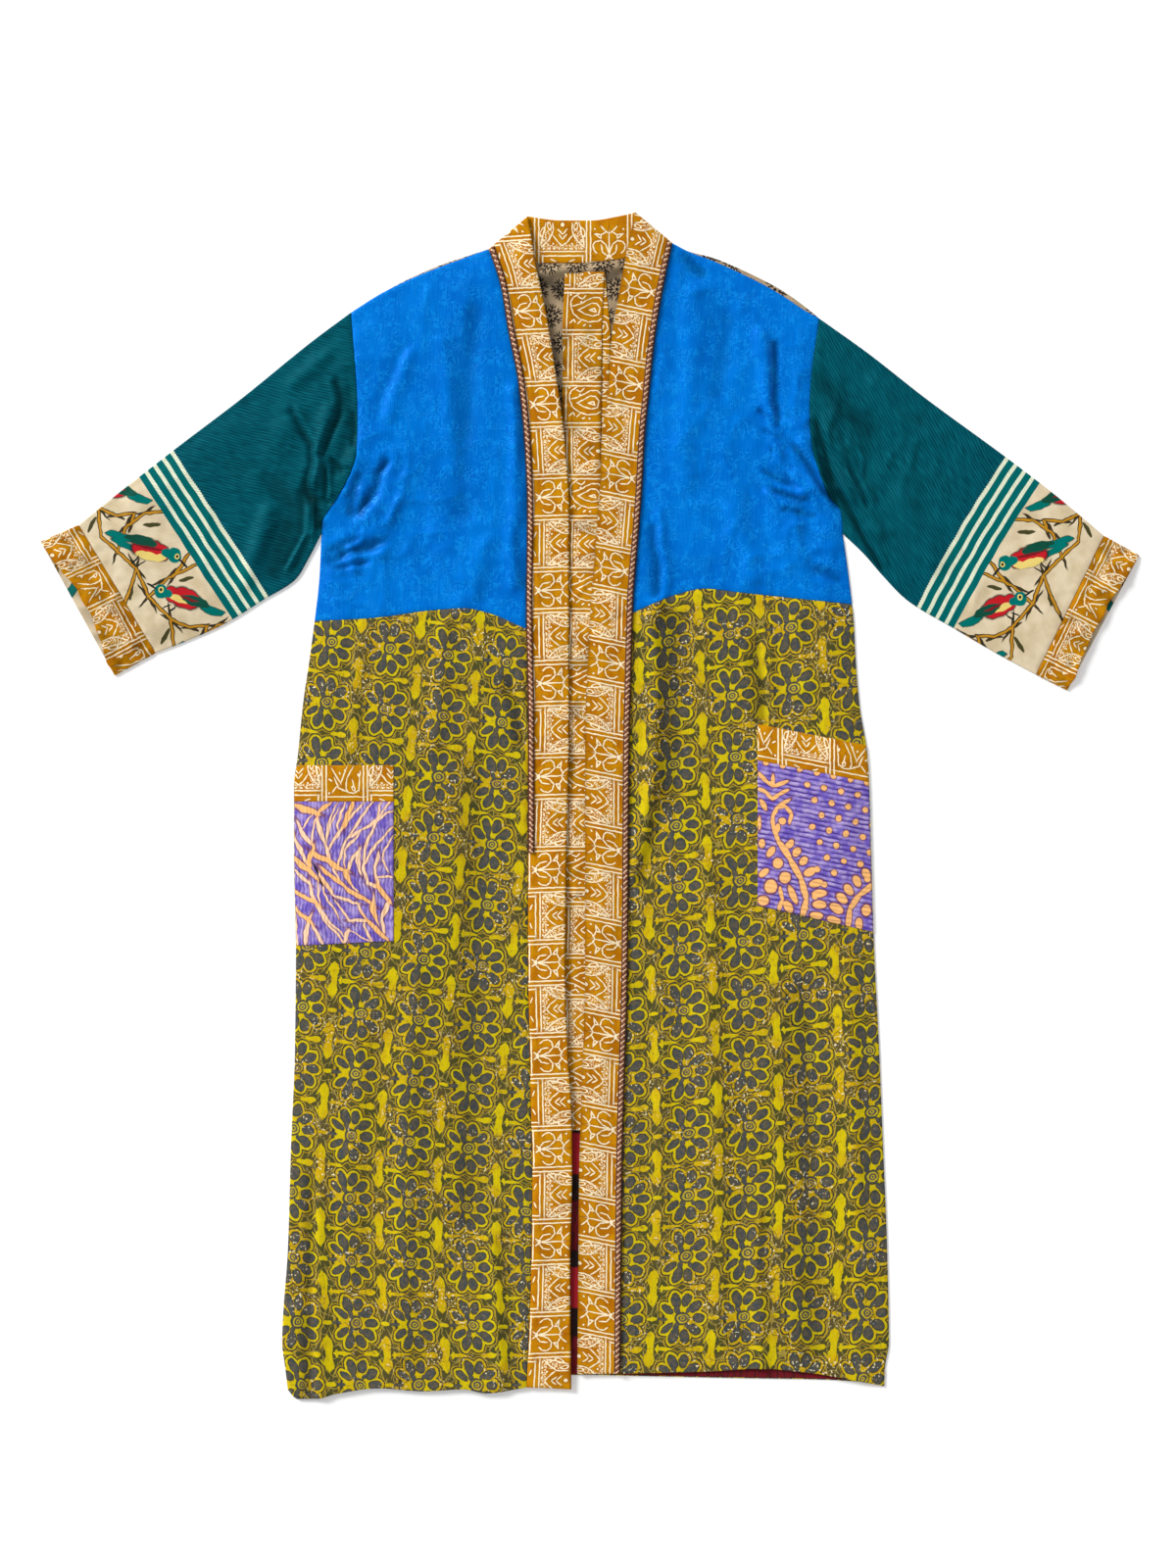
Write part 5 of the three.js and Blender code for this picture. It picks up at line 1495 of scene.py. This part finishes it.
def makePocket(side, part):
    # the pocket or the band over its mouth: a panel between two slanting lines, from its inner edge to
    # the robe's side, that swells in its middle and is pleated as its cloth is
    look = pocketPiece[side]
    edges = sides[side]
    line = lambda height, slope: lambda x: look[height] + (x - look["innerX"]) * look[slope]
    if part == "pocket":
        low, high = line("bottom", "bottomSlope"), line("bandBottom", "slope")
    else:
        low, high = line("bandBottom", "slope"), line("top", "slope")
    inner = lambda y: look["innerX"] + 0 * np.asarray(y, float)
    outer = lambda y: edges["sideX"](y) - edges["out"] * pocketPiece["sideInset"]
    x, y, fromSides, fromEnds = panelGrid(inner, outer, low, high, pocketPiece["spacing"])
    base = frontSurface(side, x, y) + levels["clothWall"] + pocketPiece["aboveSkirt"]
    swell = 0.7 * ease(fromSides / 30) * ease(fromEnds / 30) + 0.2 * softNoise(x, y, 9, 26, 41)
    pleatAt = x / 4.4 if side == "right" else (y + 0.2 * x) / scrollChart["pleatPitch"]
    pleats = look["pleatHeight"] * np.sin(2 * np.pi * pleatAt)
    lift = swell + (pleats if part == "pocket" else 0.25 * softNoise(x, y, 8, 8, 43))
    top = base + pocketPiece["thickness"] + lift * ease(fromSides / 4) * ease(fromEnds / 4)
    top = top - rimDrop(fromSides, fromEnds, 0.6)
    if part == "pocket":
        place = np.stack([x - look["chart"][0], look["chart"][1] - y], -1)
        piece = shell(f"{side}PocketCloth", x, y, top, base, place)
        dress(piece, [f"{side}_pocket"], [look["cloth"], look["cloth"]])
    else:
        place = np.stack([y - low(x), np.abs(x - look["innerX"]) + look["printStart"]], -1)
        piece = shell(f"{side}PocketBandCloth", x, y, top, base, place)
        dress(piece, [f"{side}_pocket_band"], ["hooks", "hooks"])


sleevePiece = {
    "spacing": 3.0,
    "wall": 0.9,
    "cuffWall": 1.2,
    "edgeSteps": 5,
    "leastRoom": 0.4,
    "length": 330,
    "width": 230,
    "acrossSteps": 76,
    "underRim": 1.15,
    "cuffLength": 41,
    "cuffWidth": 160,
    "cuffSpacing": 1.9,
    "cuffGap": 0.35,
    # a line of the cloth's stripes in the photograph's plane: a point on the end of the print by the cuff
    # side, and the way from the fold to the underarm along the stripes
    "right": {"printEnd": (-459.4, 335), "down": (0.547, -0.837), "bend": 0.0},
    "left": {"printEnd": (456, 328), "down": (-0.511, -0.860), "bend": 0.00035},
}


def sleevePlace(side, x, y):
    # place on the sleeve's cloth: along the stripes from the fold, and up the sleeve from the cuff seam
    look = sleevePiece[side]
    dx, dy = x - look["printEnd"][0], y - look["printEnd"][1]
    alongX, alongY = look["down"]
    upX, upY = (-alongY, alongX) if side == "right" else (alongY, -alongX)
    along = dx * alongX + dy * alongY
    up = dx * upX + dy * upY + look["bend"] * (along - 80) ** 2 - look["bend"] * 2000
    return np.stack([along + 20, up + sleeveLook["printEnd"]], -1)


def lowestAround(z):
    # at each place of a grid the lowest of its own height and those of its eight neighbours
    padded = np.pad(z, 1, mode="edge")
    rows, columns = z.shape
    return np.minimum.reduce([padded[i:i + rows, j:j + columns] for i in range(3) for j in range(3)])


def flattenedTube(topXY, bottomXY, wall, rise, crumple):
    # rings round a flattened tube: over the front from the underarm to the fold, round the fold,
    # back under it and round the underarm. Arrays run along the sleeve, then across it.
    across = topXY[:, -1] - topXY[:, 0]
    out = across / np.linalg.norm(across, axis=-1, keepdims=True)
    steps = sleevePiece["edgeSteps"]
    angles = np.linspace(0, np.pi, steps + 2)[1:-1]

    height = np.maximum(rise(topXY[..., 0], topXY[..., 1]) + crumple, sleevePiece["leastRoom"])

    def rings(offset):
        # the inner ring keeps under the outer one in sharp folds too
        topZ = height + wall if offset == 0 else lowestAround(height) + wall - offset
        bottomZ = np.full(bottomXY.shape[:2], offset)
        radius = (topZ[:, [0, -1]] - offset) / 2
        top = np.concatenate([topXY, topZ[..., None]], -1)
        bottom = np.concatenate([bottomXY, bottomZ[..., None]], -1)[:, ::-1]

        def roundEdge(edgeTop, edgeBottom, outward, half, falling):
            # half a turn between an upper and a lower edge, pushed outwards by the sine of the turn
            turn = angles if falling else angles[::-1]
            swing = np.sin(turn)[None, :, None]
            share = ((1 - np.cos(turn)) / 2)[None, :, None]
            middle = blend(edgeTop[:, None], edgeBottom[:, None], share)
            push = np.concatenate([outward, np.zeros((len(outward), 1))], -1)[:, None]
            return middle + swing * push * half[:, None, None]

        fold = roundEdge(top[:, -1], bottom[:, 0], out, radius[:, 1], True)
        under = roundEdge(top[:, 0], bottom[:, -1], -out, radius[:, 0], False)
        return np.concatenate([top, fold, bottom, under], 1)

    return rings(0), rings(wall)


def makeSleeve(side):
    # the sleeve's plane is a patch between four edges: armhole, cuff seam, underarm and fold. Its points
    # are the two ways of joining them, added, less the flat patch between the corners.
    look = sleevePiece
    edge = sleeveEdge[side]
    edges = sides[side]
    under = alongPath(edge["underX"], edge["underY"])
    fold = alongPath(edge["foldX"], edge["foldY"])
    rim = look["underRim"] / look["width"]
    u = gridPlaces(look["length"], look["spacing"])
    v = np.linspace(rim, 1 - rim, look["acrossSteps"])
    topY = armhole[side]["y"][0]
    startY = blend(armpitY, topY, v)
    start = np.stack([edges["armholeX"](startY), startY], -1)
    first = np.array([armhole[side]["x"][-1], armpitY])
    last = np.array([armhole[side]["x"][0], topY])
    end = blend(under(1.0), fold(1.0), v[:, None])
    lengthwise = blend(under(u)[:, None], fold(u)[:, None], v[None, :, None])
    crosswise = blend(start[None], end[None], u[:, None, None])
    corners = blend(blend(first, last, v[:, None])[None], end[None], u[:, None, None])
    walls = lengthwise + crosswise - corners
    x = walls[..., 0]
    fromEnds = (np.minimum(u, 1 - u) * look["length"])[:, None] + 0 * x
    fromFolds = np.minimum(v, 1 - v)[None] * look["width"] + 0 * x
    pucker = softNoise(v[None] * look["width"], fromEnds, 7, 9, 51)
    seam = -0.7 * np.exp(-(fromEnds / 2.4) ** 2) + 0.55 * pucker * np.exp(-fromEnds / 12)
    crumple = seam * ease(fromFolds / 8) - quarterRound(fromEnds, 1.1, 0.3)
    outer, inner = flattenedTube(walls, walls, look["wall"], upperSurface, crumple)
    place = sleevePlace(side, outer[..., 0], outer[..., 1])
    piece = tube(f"{side}SleeveCloth", outer, inner, place, paintedCreaseShade(outer[..., 0], outer[..., 1]))
    dress(piece, [f"{side}_sleeve"],
          ["sleeveRight" if side == "right" else "sleeveLeft", "facing"])
    makeCuff(side, walls[-1], v)


def makeCuff(side, startXY, v):
    # a short tube from the sleeve's end to its own free edge, whose upper side is pulled back in a wave
    look = sleevePiece
    edge = sleeveEdge[side]
    width, cuffLength = look["cuffWidth"], look["cuffLength"]
    freeEdge = blend(np.array(edge["cuffUnder"], float), np.array(edge["cuffFold"], float), v[:, None])
    wave = 1.4 * softNoise(v * width, 0 * v, 17, 9, 61) + 0.7 * softNoise(v * width, 0 * v, 7, 9, 63)
    length = np.linalg.norm(freeEdge - startXY, axis=-1)
    u = gridPlaces(cuffLength, look["cuffSpacing"])[:, None, None]
    pull = edge["cuffPull"] * np.sin(np.pi * v) ** 2 + wave * ease(np.minimum(v, 1 - v) * 12)
    frontReach = (1 - pull / length)[None, :, None]
    gap = look["cuffGap"] / length[None, :, None]
    front = blend(startXY[None], freeEdge[None], gap + (frontReach - gap) * u)
    back = blend(startXY[None], freeEdge[None], gap + (1 - gap) * u)
    x, y = front[..., 0], front[..., 1]
    fromSeam = u[..., 0] * cuffLength + 0 * x
    fromFolds = np.minimum(v, 1 - v)[None] * width
    corner = np.exp(-(fromFolds / 30) ** 2)
    crumple = (0.5 + 0.9 * corner) * softNoise(x, y, 9, 11, 65)
    crumple = crumple + (0.25 + 0.4 * corner) * softNoise(x, y, 4.5, 5, 67)
    crumple = crumple + 0.9 * ease((fromSeam - 12) / 30)
    crumple = crumple * ease(fromFolds / 7) - 0.7 * np.exp(-(fromSeam / 2) ** 2)
    crumple = crumple - quarterRound(cuffLength - fromSeam, rimLook["radius"], 0.5)
    outer, inner = flattenedTube(front, back, look["cuffWall"], upperSurface, crumple)
    edgeRing = np.ones(look["edgeSteps"])
    across = np.concatenate([v * width, width * edgeRing, v[::-1] * width, 0 * edgeRing])
    alongCuff = np.broadcast_to(width - across[None], outer.shape[:2])
    intoCuff = np.broadcast_to(u[..., 0] * cuffLength, outer.shape[:2])
    place = np.stack([intoCuff, alongCuff + 8], -1)
    ox, oy = outer[..., 0], outer[..., 1]
    # painted shade over the whole cuff, patchy like its crumples
    shade = np.clip(0.16 + 0.3 * softNoise(ox, oy, 8, 9, 65), 0, 0.4)
    piece = tube(f"{side}CuffCloth", outer, inner, place, shade)
    dress(piece, [f"{side}_cuff"], ["crumpled", "facing"])


backPiece = {
    "spacing": 2.6,
    "wall": 0.9,
    "rollHeight": 5.6,
    "rollWidth": 4.6,
    "roll": [(-50, 542), (-30, 546.5), (-8, 547), (14, 549.5), (40, 551)],
    # painted shadow under the roll, to the right and to the left of the belt
    "shaded": [[(-56, 536), (-40, 533), (-26, 524)], [(14, 538), (26, 540)]],
    "yokeInset": 1.2,
    "skirtInset": 1.6,
    "skirtSpacing": 7.0,
    "liningBase": 1.15,
    "liningWall": 0.85,
}


def insetSides(inset):
    # the robe's two side edges as curves x(y), each drawn in by the inset
    return (lambda y: sides["right"]["sideX"](y) + inset), (lambda y: sides["left"]["sideX"](y) - inset)


def makeBack():
    # the yoke, flat but for the roll under the neck band and a rumpled middle, with painted shadow under
    # the roll and painted shade in the middle, then the flat skirt and its lining
    look = backPiece
    rightX = lambda y: outerX("right", y) + look["yokeInset"]
    leftX = lambda y: outerX("left", y) - look["yokeInset"]
    seam = lambda at: backSeamY + 0 * at
    x, y, fromSides, fromEnds = panelGrid(rightX, leftX, seam, backTopY, look["spacing"])
    away = nearestOnPath(x, y, look["roll"])[0]
    inNeck = ease((40 - np.abs(x + 8)) / 12) * ease((y - 380) / 60)
    rumpled = 0.6 * softNoise(x, y, 16, 22, 71) + 0.4 * softNoise(x, y, 9, 10, 73)
    roll = np.exp(-(away / look["rollWidth"]) ** 2)
    roll = roll * (look["rollHeight"] + 2.4 * softNoise(x + 0.8 * y, y, 7, 5, 75))
    top = look["wall"] + np.maximum(roll + inNeck * (rumpled + 0.2), 0) - rimDrop(fromSides, fromEnds)
    # painted shadow in the hollows under the roll, and painted shade over the rumpled middle, less on the
    # roll
    under = [nearestOnPath(x, y, path)[0] for path in look["shaded"]]
    shade = 0.72 * np.exp(-(under[0] / 8) ** 2) + 0.62 * np.exp(-(under[1] / 6) ** 2)
    shade = np.clip(shade + 0.2 * inNeck * (1 + softNoise(x, y, 12, 14, 79)) * (1 - roll / 5), 0, 0.8)
    piece = shell("backYokeCloth", x, y, top, 0 * x, np.stack([x, y], -1), shade)
    dress(piece, ["back_yoke"], ["sprigs", "sprigs"])

    skirtTop = lambda at: backSeamY - levels["restGap"] + 0 * at
    x, y, fromSides, fromEnds = panelGrid(*insetSides(look["skirtInset"]), backHemY, skirtTop,
                                          look["skirtSpacing"])
    top = look["wall"] - rimDrop(fromSides, fromEnds) + 0 * x
    piece = shell("backSkirtCloth", x, y, top, 0 * x, flowerPlace("back", x, y))
    dress(piece, ["back_skirt"], ["flowers", "flowers"])

    liningHem, liningTop = (lambda at: backHemY(at) + 1), (lambda at: backSeamY - 3 + 0 * at)
    x, y, fromSides, fromEnds = panelGrid(*insetSides(levels["liningInset"]), liningHem, liningTop,
                                          look["skirtSpacing"])
    base = look["liningBase"] + 0 * x
    folds = 0.18 * softNoise(x, y, 20, 60, 77)
    top = base + look["liningWall"] + folds - rimDrop(fromSides, fromEnds)
    piece = shell("backSkirtLining", x, y, top, base, np.stack([x, y], -1))
    dress(piece, ["back_skirt_lining"], ["lining", "lining"])


neckPiece = {"spacing": 1.8, "thickness": 1.5, "length": 150, "width": 44, "crumple": 0.3,
             "printStart": (554, -54.3)}


def makeNeckBand():
    # a band between the neck seam and its own upper edge, crumpled a little
    look = neckPiece
    length, width = look["length"], look["width"]
    top = alongPath(neckTop["x"], neckTop["y"])
    s = gridPlaces(length, look["spacing"])
    t = gridPlaces(width, look["spacing"])[:, None, None]
    seamX = blend(neckSeam["x"][0], neckSeam["x"][-1], s)
    seam = np.stack([seamX, neckSeamY(seamX) + levels["restGap"]], -1)
    xy = blend(seam[None], top(s)[None], t)
    x, y = xy[..., 0], xy[..., 1]
    fromSides = np.minimum(s, 1 - s)[None] * length + 0 * x
    fromEnds = np.minimum(t[..., 0], 1 - t[..., 0]) * width + 0 * x
    crumple = look["crumple"] * softNoise(x, y, 14, 14, 81) + 0.15 * softNoise(x, y, 6, 6, 83)
    crumple = crumple + look["crumple"]
    high = look["thickness"] + crumple * ease(fromEnds / 6) - rimDrop(fromSides, fromEnds, 0.7)
    place = np.stack([y - look["printStart"][0], x - look["printStart"][1]], -1)
    piece = shell("backNeckBandCloth", x, y, high, 0 * x, place)
    dress(piece, ["back_neck_band"], ["bands", "bands"])


beltPiece = {"width": 40.0, "wall": 0.85, "spacing": 2.6, "spacingAcross": 1.9, "top": 544.0,
             "upperEnd": -92.0, "lowerEnd": -331.0, "foldLength": 1.2, "foldReach": 0.9, "foldX": -5.5,
             "lift": 1.2, "liftLength": 30.0, "printStart": 41.0, "flatLength": 1.51}


def makeBelt():
    # one strip: up the lower tail, over the fold at the neck and down the upper tail
    look = beltPiece
    wall = look["wall"]

    def onBack(y):
        # the level of the cloth under the belt
        level = blend(1.1, 2.2, ease((backSeamY + 30 - y) / 30))
        return level + look["lift"] * ease((y - look["top"] + look["liftLength"]) / look["liftLength"])

    lowerLength = look["top"] - look["lowerEnd"]
    upperLength = look["top"] - look["upperEnd"]
    foldY = look["top"] - look["foldLength"]
    lowerY = blend(look["lowerEnd"], foldY, gridPlaces(lowerLength, look["spacing"])[:-2])
    upperY = blend(foldY, look["upperEnd"], gridPlaces(upperLength, look["spacing"])[2:])
    s = gridPlaces(look["width"], look["spacingAcross"])
    fromSides = np.minimum(s, 1 - s) * look["width"]
    turn = np.linspace(0, np.pi, 7)[1:-1]
    level = onBack(look["top"])
    middle = np.concatenate([beltLowerX(lowerY), np.full(len(turn), look["foldX"]), beltUpperX(upperY)])
    overLower = 1.5 * wall + levels["restGap"]
    lowZ, highZ = level + wall / 2, level + overLower
    turnY = foldY + look["foldReach"] * np.sin(turn)
    turnZ = (lowZ + highZ) / 2 - (highZ - lowZ) / 2 * np.cos(turn)
    y = np.concatenate([lowerY, turnY, upperY])
    midZ = np.concatenate([onBack(lowerY) + wall / 2, turnZ, onBack(upperY) + overLower])
    outY = np.concatenate([0 * lowerY, np.sin(turn), 0 * upperY])
    outZ = np.concatenate([0 * lowerY - 1, -np.cos(turn), 0 * upperY + 1])
    travelled = np.concatenate([[0], np.cumsum(np.hypot(np.diff(y), np.diff(midZ)))])
    isUpper = np.concatenate([0 * lowerY, 0 * turn, 0 * upperY + 1])
    wander = 0.9 * softNoise(travelled, 0 * y, 46, 9, 91) + 0.4 * softNoise(travelled, 0 * y, 17, 9, 93)
    x = middle[:, None] + (s[None] - 0.5) * look["width"] + wander[:, None]
    yy = y[:, None] + 0 * x
    squeezed = 0.35 + 0.65 * ease((430 - yy) / 120)
    rippled = 0.5 * softNoise(x, yy, 12, 20, 95) + squeezed * 1.5 * creaseNoise(x, 2.2 * yy, 26, 26, 97) - 0.3
    rippled = rippled * ease((look["top"] - 14 - yy) / 20)
    thickness = wall / 2 - quarterRound(fromSides, rimLook["radius"], 0.3)[None]
    lifted = rippled * isUpper[:, None] * ease(fromSides / 5)[None]
    awayY, awayZ = outY[:, None] * thickness, outZ[:, None] * thickness
    outerPoints = np.stack([x, yy + awayY, midZ[:, None] + awayZ + lifted], -1)
    innerPoints = np.stack([x, yy - awayY, midZ[:, None] - awayZ], -1)
    printAcross = s[None] * look["width"] + 1.0 + 0 * x
    printAlong = look["printStart"] - travelled[:, None] + 0 * x
    # painted shadow along both edges where the bands lie over the belt, and painted shade in the ripples'
    # troughs
    shadowUnderBands = np.exp(-(fromSides / 3) ** 2)[None] * ease((500 - yy) / 60)
    shade = np.clip(0.4 * shadowUnderBands + 0.5 * np.maximum(-rippled, 0) * isUpper[:, None], 0, 0.6)
    piece = closedSheet("beltCloth", outerPoints, innerPoints, np.stack([printAcross, printAlong], -1), shade,
                        lined=False)
    dress(piece, ["belt"], ["paisley"])


# Camera straight above the middle of the picture, which shows 1200 by 1600 millimetres
viewLook = {"lens": 85.0, "sensor": 36.0, "tall": 1600.0, "centre": (-2.0, 22.0)}


def makeCamera():
    # far enough above for its lens to fill the picture's height
    look = viewLook
    data = bpy.data.cameras.new("cameraAbove")
    data.lens = look["lens"]
    data.sensor_width = look["sensor"]
    camera = bpy.data.objects.new("cameraAbove", data)
    distance = look["lens"] / look["sensor"] * look["tall"]
    camera.location = (look["centre"][0] / metre, look["centre"][1] / metre, distance / metre)
    bpy.context.scene.collection.objects.link(camera)
    bpy.context.scene.camera = camera


lightLook = {"sky": 0.52, "sun": 3.6, "sunSpread": 24, "sunTilt": 60.5, "sunTurn": 40, "paperGlow": 0.16,
             "paperHalf": 3.0, "paperLevel": -0.0004}


def makeStudio():
    # a white sky, one soft sun from the upper left and a sheet of pale paper that glows a little
    look = lightLook
    world = bpy.data.worlds.new("studio")
    world.use_nodes = True
    background = world.node_tree.nodes["Background"]
    background.inputs["Color"].default_value = (1, 1, 1, 1)
    background.inputs["Strength"].default_value = look["sky"]
    bpy.context.scene.world = world
    sunData = bpy.data.lights.new("softKey", "SUN")
    sunData.energy = look["sun"]
    sunData.angle = math.radians(look["sunSpread"])
    sun = bpy.data.objects.new("softKey", sunData)
    sun.rotation_euler = (0, -math.radians(look["sunTilt"]), -math.radians(look["sunTurn"]))
    bpy.context.scene.collection.objects.link(sun)

    half, level = look["paperHalf"], look["paperLevel"]
    mesh = bpy.data.meshes.new("paleFloor")
    corners = [(-half, -half, level), (half, -half, level), (half, half, level), (-half, half, level)]
    mesh.from_pydata(corners, [], [(0, 1, 2, 3)])
    floor = bpy.data.objects.new("paleFloor", mesh)
    bpy.context.scene.collection.objects.link(floor)
    paper = bpy.data.materials.new("pale paper")
    paper.use_nodes = True
    nodes, links = paper.node_tree.nodes, paper.node_tree.links
    shader = nodes["Principled BSDF"]
    shader.inputs["Roughness"].default_value = 0.9
    shader.inputs["Specular IOR Level"].default_value = 0.0
    # the paper glows a little, painted light like that of a light table, so that the shadows on it stay pale
    shader.inputs["Emission Color"].default_value = (1, 1, 1, 1)
    shader.inputs["Emission Strength"].default_value = look["paperGlow"]
    where = nodes.new("ShaderNodeTexCoord")
    grain = nodes.new("ShaderNodeTexNoise")
    grain.inputs["Scale"].default_value = 3.0
    links.new(where.outputs["Object"], grain.inputs["Vector"])
    tone = nodes.new("ShaderNodeMix")
    tone.data_type = "RGBA"
    tone.inputs[6].default_value = (0.91, 0.91, 0.91, 1)
    tone.inputs[7].default_value = (0.94, 0.94, 0.94, 1)
    links.new(grain.outputs[0], tone.inputs[0])
    links.new(tone.outputs[2], shader.inputs["Base Color"])
    mesh.materials.append(paper)
    bpy.context.scene.view_settings.view_transform = "Standard"


makeCamera()
makeStudio()
print("camera and light set")
makeBack()
makeNeckBand()
makeBelt()
print("back, neck and belt made")
for side in ("right", "left"):
    makeFrontSkirt(side)
    makeFrontYoke(side)
    makeFrontBand(side)
    makeBraid(side)
    makePocket(side, "pocket")
    makePocket(side, "pocketBand")
    makeSleeve(side)
    print(side, "front and sleeve made")

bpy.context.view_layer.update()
total = sum(len(piece.data.polygons) for piece in bpy.data.objects if piece.type == "MESH")
print("faces in all:", total)
